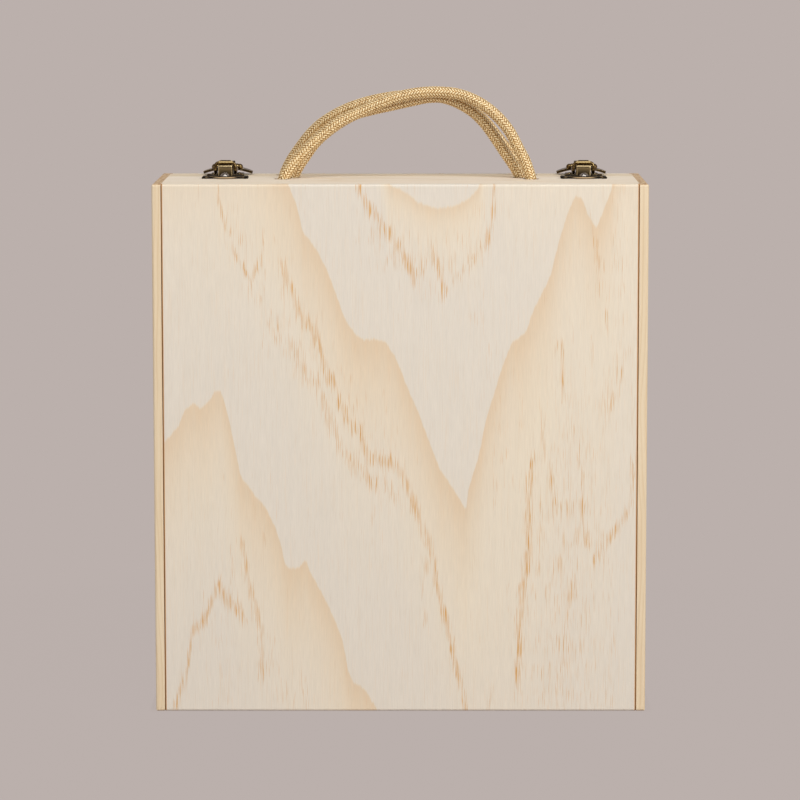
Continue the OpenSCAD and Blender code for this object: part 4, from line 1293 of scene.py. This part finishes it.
    def build(self, finishes: Finishes) -> None:
        """Makes the latch's pieces and hangs them on the body, the lever and the bail.

        Args:
            finishes: the finishes of the case.
        """
        side = self.name
        self._finish(self.plate(), "plate", finishes.bronze, "body", f"{side}_hook_plate")
        self._finish(self.hook(), "hook", finishes.antique, "body", f"{side}_hook_plate")
        self._finish(self.wire(), "wire_bail", finishes.brass, f"{side}_bail", f"{side}_bail")
        self._finish(self.wire_pin(), "ball_pin", finishes.brass, f"{side}_lever", f"{side}_bail_pin")
        sheet = self._finish(self.lever_sheet(), "lever_sheet", finishes.antique, f"{side}_lever",
                             f"{side}_lever")
        wall = sheet.modifiers.new("wall", "SOLIDIFY")
        wall.thickness = 0.0017
        wall.offset = -1
        ease = sheet.modifiers.new("ease", "BEVEL")
        ease.width = 0.0003
        ease.segments = 3
        ease.limit_method = "ANGLE"
        self._finish(self.cheeks(), "lever_cheeks", finishes.antique, f"{side}_lever", f"{side}_lever")


@dataclass
class LatchScrews:
    """The screws of both latches: a big domed one in each hook plate, small ones in the wings and bases."""

    def build(self, finishes: Finishes) -> None:
        """Makes the three groups of screws.

        Args:
            finishes: the finishes of the case.
        """
        middles = [Latch(side).middle for side in Side]
        big = Screw(3.3, 2.6, 1.3, 8.0, 1.5, 0.42)
        small = Screw(1.8, 1.1, 0.9, 6.0, 1.0, 0.26, crossed=False, rings=18, sides=64)
        groups = (
            ("dome_screws", "hook_dome_screws", "body", "bright_steel", finishes.steel,
             [big.build(m, -21.7, 1.6) for m in middles]),
            ("wing_screws", "hook_small_screws", "body", "worn_brass", finishes.brass,
             [small.build(m + x, -15.0, 1.85) for m in middles for x in (-11, 11)]),
            ("base_screws", "latch_base_screws", "lid", "worn_brass", finishes.brass,
             [small.build(m + x, y, 1.2) for m in middles for x, y in ((-8.2, 7), (8.2, 7), (0, 16))]),
        )
        for name, node, body, slot, material, screws in groups:
            piece = Surface.joined(screws).to_object(name, material)
            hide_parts(node)
            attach(piece, body)
            LOG.info("%s: %d on %s", name, len(screws), body)


@dataclass
class Carcass:
    """The boards, hinges and base plates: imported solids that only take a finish."""

    def build(self, finishes: Finishes) -> None:
        """Gives each solid its finish.

        Args:
            finishes: the finishes of the case.
        """
        wanted = {
            "body_top_board": finishes.board_pine,
            "body_bottom_board": finishes.board_pine,
            "lid_top_board": finishes.lid_pine,
            "lid_bottom_board": finishes.lid_pine,
        }
        for side in ("left", "right"):
            wanted[f"body_{side}_side"] = finishes.side_pine
            wanted[f"lid_{side}_side"] = finishes.side_pine
            wanted[f"{side}_divider"] = finishes.side_pine
            wanted[f"{side}_hinge_body_leaf"] = finishes.antique
            wanted[f"{side}_hinge_lid_leaf"] = finishes.antique
            wanted[f"{side}_hinge_pin"] = finishes.brass
            wanted[f"{side}_latch_base"] = finishes.antique
            wanted[f"{side}_lever_pin"] = finishes.brass
        wanted["body_hinge_screws"] = finishes.brass
        wanted["lid_hinge_screws"] = finishes.brass
        for name, material in wanted.items():
            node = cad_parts[name]
            node.material_slots[0].material = material
            LOG.info("%s keeps its solid, finished as %s", name, material.name)


@dataclass(frozen=True)
class Studio:
    """Camera, lights, floor and the plain taupe behind the case."""

    eye: tuple[float, float, float] = (0.013, -2.250, 0.5223)
    tilt: float = 83.3
    lens: float = 151.1
    shift: tuple[float, float] = (-0.025, -0.101)
    taupe: Colour = linear(187, 176, 172)
    fill: float = 0.42
    room: float = 0.22
    lamps: tuple[tuple[str, float, float, float, float, float, float], ...] = (
        ("left_softbox", -1.5, -1.9, 1.45, 0.9, 2.0, 12.5),
        ("right_softbox", 1.7, -1.7, 1.4, 0.9, 2.0, 35.0),
        ("back_softbox", -0.5, 2.4, 0.17, 2.2, 0.3, 30.0),
        ("top_softbox", 0.1, -1.5, 2.15, 1.2, 1.5, 20.0),
    )

    def camera(self) -> None:
        """Makes the camera of the photograph."""
        data = bpy.data.cameras.new("photo_camera")
        data.lens = self.lens
        data.sensor_width = 36
        data.shift_x, data.shift_y = self.shift
        data.clip_start = 0.05
        eye = bpy.data.objects.new("photo_camera", data)
        eye.location = self.eye
        eye.rotation_euler = (math.radians(self.tilt), 0, 0)
        bpy.context.scene.collection.objects.link(eye)
        bpy.context.scene.camera = eye

    def _seen(self, g: Graph | None, tree: bpy.types.NodeTree) -> Socket:
        """1 on camera, glossy and transmission rays, and 0 on the rays that light the object."""
        path = tree.nodes.new("ShaderNodeLightPath")
        outputs = ("Is Camera Ray", "Is Glossy Ray", "Is Transmission Ray")
        total = path.outputs[outputs[0]]
        for name in outputs[1:]:
            add = tree.nodes.new("ShaderNodeMath")
            add.operation = "MAXIMUM"
            tree.links.new(total, add.inputs[0])
            tree.links.new(path.outputs[name], add.inputs[1])
            total = add.outputs[0]
        return total

    def floor(self) -> None:
        """Makes the floor: the plain taupe where it is seen, with the soft shadow of the case near it."""
        turn = np.arange(96) * 2 * math.pi / 96
        rings = np.array([0.001, 0.2, 0.5, 1.0, 2.0, 6.0]) * 1000
        flat = np.stack([rings[:, None] * np.cos(turn), rings[:, None] * np.sin(turn),
                         np.zeros((6, 96))], axis=-1)
        g = Graph("taupe_floor")
        x, y, z = g.place()
        beside = g.math("MAXIMUM", g.math("SUBTRACT", g.math("ABSOLUTE", x), 163.5), 0.0)
        before = g.math("MAXIMUM", g.math("SUBTRACT", g.math("ABSOLUTE", y), 50.0), 0.0)
        far = g.math("SQRT", g.math("ADD", g.math("MULTIPLY", beside, beside), g.math("MULTIPLY", before, before)))
        plain = g.node("ShaderNodeEmission")
        g.feed(plain.inputs["Color"], self.taupe)
        lit = g.node("ShaderNodeBsdfDiffuse")
        g.feed(lit.inputs["Color"], tuple(c / 1.18 for c in self.taupe))
        near = g.node("ShaderNodeMixShader")
        g.feed(near.inputs[0], g.math("MAXIMUM", g.rise(far, 0.0, 5.0, 0.3, 0.985), g.rise(far, 60.0, 400.0, 0.9, 1.0)))
        g.feed(near.inputs[1], lit.outputs[0])
        g.feed(near.inputs[2], plain.outputs[0])
        both = g.node("ShaderNodeMixShader")
        g.feed(both.inputs[0], self._seen(g, g.tree))
        g.feed(both.inputs[1], lit.outputs[0])
        g.feed(both.inputs[2], near.outputs[0])
        g.feed(g.node("ShaderNodeOutputMaterial").inputs[0], both.outputs[0])
        sheet = grid(flat)
        sheet.faces = [sheet.faces[0]]
        floor = sheet.to_object("floor", g.material)

    def world(self) -> None:
        """Makes the surroundings: taupe where they are seen, and a plain soft grey light otherwise.

        A reflection of the room before the case is dimmer than the taupe behind it.
        """
        world = bpy.data.worlds.new("studio")
        world.use_nodes = True
        tree = world.node_tree
        tree.nodes.clear()
        seen = tree.nodes.new("ShaderNodeBackground")
        seen.inputs["Color"].default_value = (*self.taupe, 1.0)
        light = tree.nodes.new("ShaderNodeBackground")
        light.inputs["Color"].default_value = (1.0, 0.99, 0.97, 1.0)
        light.inputs["Strength"].default_value = self.fill
        way = tree.nodes.new("ShaderNodeSeparateXYZ")
        tree.links.new(tree.nodes.new("ShaderNodeTexCoord").outputs["Generated"], way.inputs[0])
        room = tree.nodes.new("ShaderNodeMapRange")
        for key, value in (("From Min", -0.5), ("From Max", 0.3), ("To Min", self.room - 1), ("To Max", 0.0)):
            room.inputs[key].default_value = value
        tree.links.new(way.outputs["Y"], room.inputs["Value"])
        dimmed = tree.nodes.new("ShaderNodeMath")
        dimmed.operation = "MULTIPLY_ADD"
        tree.links.new(tree.nodes.new("ShaderNodeLightPath").outputs["Is Glossy Ray"], dimmed.inputs[0])
        tree.links.new(room.outputs["Result"], dimmed.inputs[1])
        dimmed.inputs[2].default_value = 1.0
        tree.links.new(dimmed.outputs[0], seen.inputs["Strength"])
        mixed = tree.nodes.new("ShaderNodeMixShader")
        tree.links.new(self._seen(None, tree), mixed.inputs[0])
        tree.links.new(light.outputs[0], mixed.inputs[1])
        tree.links.new(seen.outputs[0], mixed.inputs[2])
        tree.links.new(mixed.outputs[0], tree.nodes.new("ShaderNodeOutputWorld").inputs[0])
        bpy.context.scene.world = world

    def lights(self) -> None:
        """Makes the softboxes, each turned to the middle of the case."""
        for name, x, y, z, wide, tall, watts in self.lamps:
            data = bpy.data.lights.new(name, "AREA")
            data.shape = "RECTANGLE"
            data.size, data.size_y = wide, tall
            data.energy = watts
            lamp = bpy.data.objects.new(name, data)
            lamp.location = (x, y, z)
            lamp.visible_camera = False
            lamp.visible_glossy = y < 0
            way = np.array([0.0, 0.0, 0.2]) - np.array([x, y, z])
            flat = math.hypot(way[0], way[1])
            lamp.rotation_euler = (math.atan2(flat, -way[2]), 0, math.atan2(-way[0], way[1]))
            bpy.context.scene.collection.objects.link(lamp)

    def build(self) -> None:
        """Sets up the studio."""
        bpy.context.scene.view_settings.view_transform = "Standard"
        self.floor()
        self.world()
        self.lights()


def main() -> None:
    """Builds the scene: the camera and the ropes first, then the case, its latches and the studio."""
    logging.basicConfig(level=logging.INFO, format="%(name)s: %(message)s")
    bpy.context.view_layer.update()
    studio = Studio()
    studio.camera()
    finishes = Finishes()
    for loop in (RopeLoop("front_rope", "body", FRONT_ROUTE), RopeLoop("middle_rope", "body", MIDDLE_ROUTE),
                 RopeLoop("rear_rope", "lid", REAR_ROUTE)):
        loop.build(finishes)
    Carcass().build(finishes)
    FiguredPanel("front_panel", "body", -1).build(finishes.front_pine)
    FiguredPanel("back_panel", "lid", 1).build(finishes.back_pine)
    for side in Side:
        Latch(side).build(finishes)
    LatchScrews().build(finishes)
    studio.build()


if __name__ == "__main__":
    main()
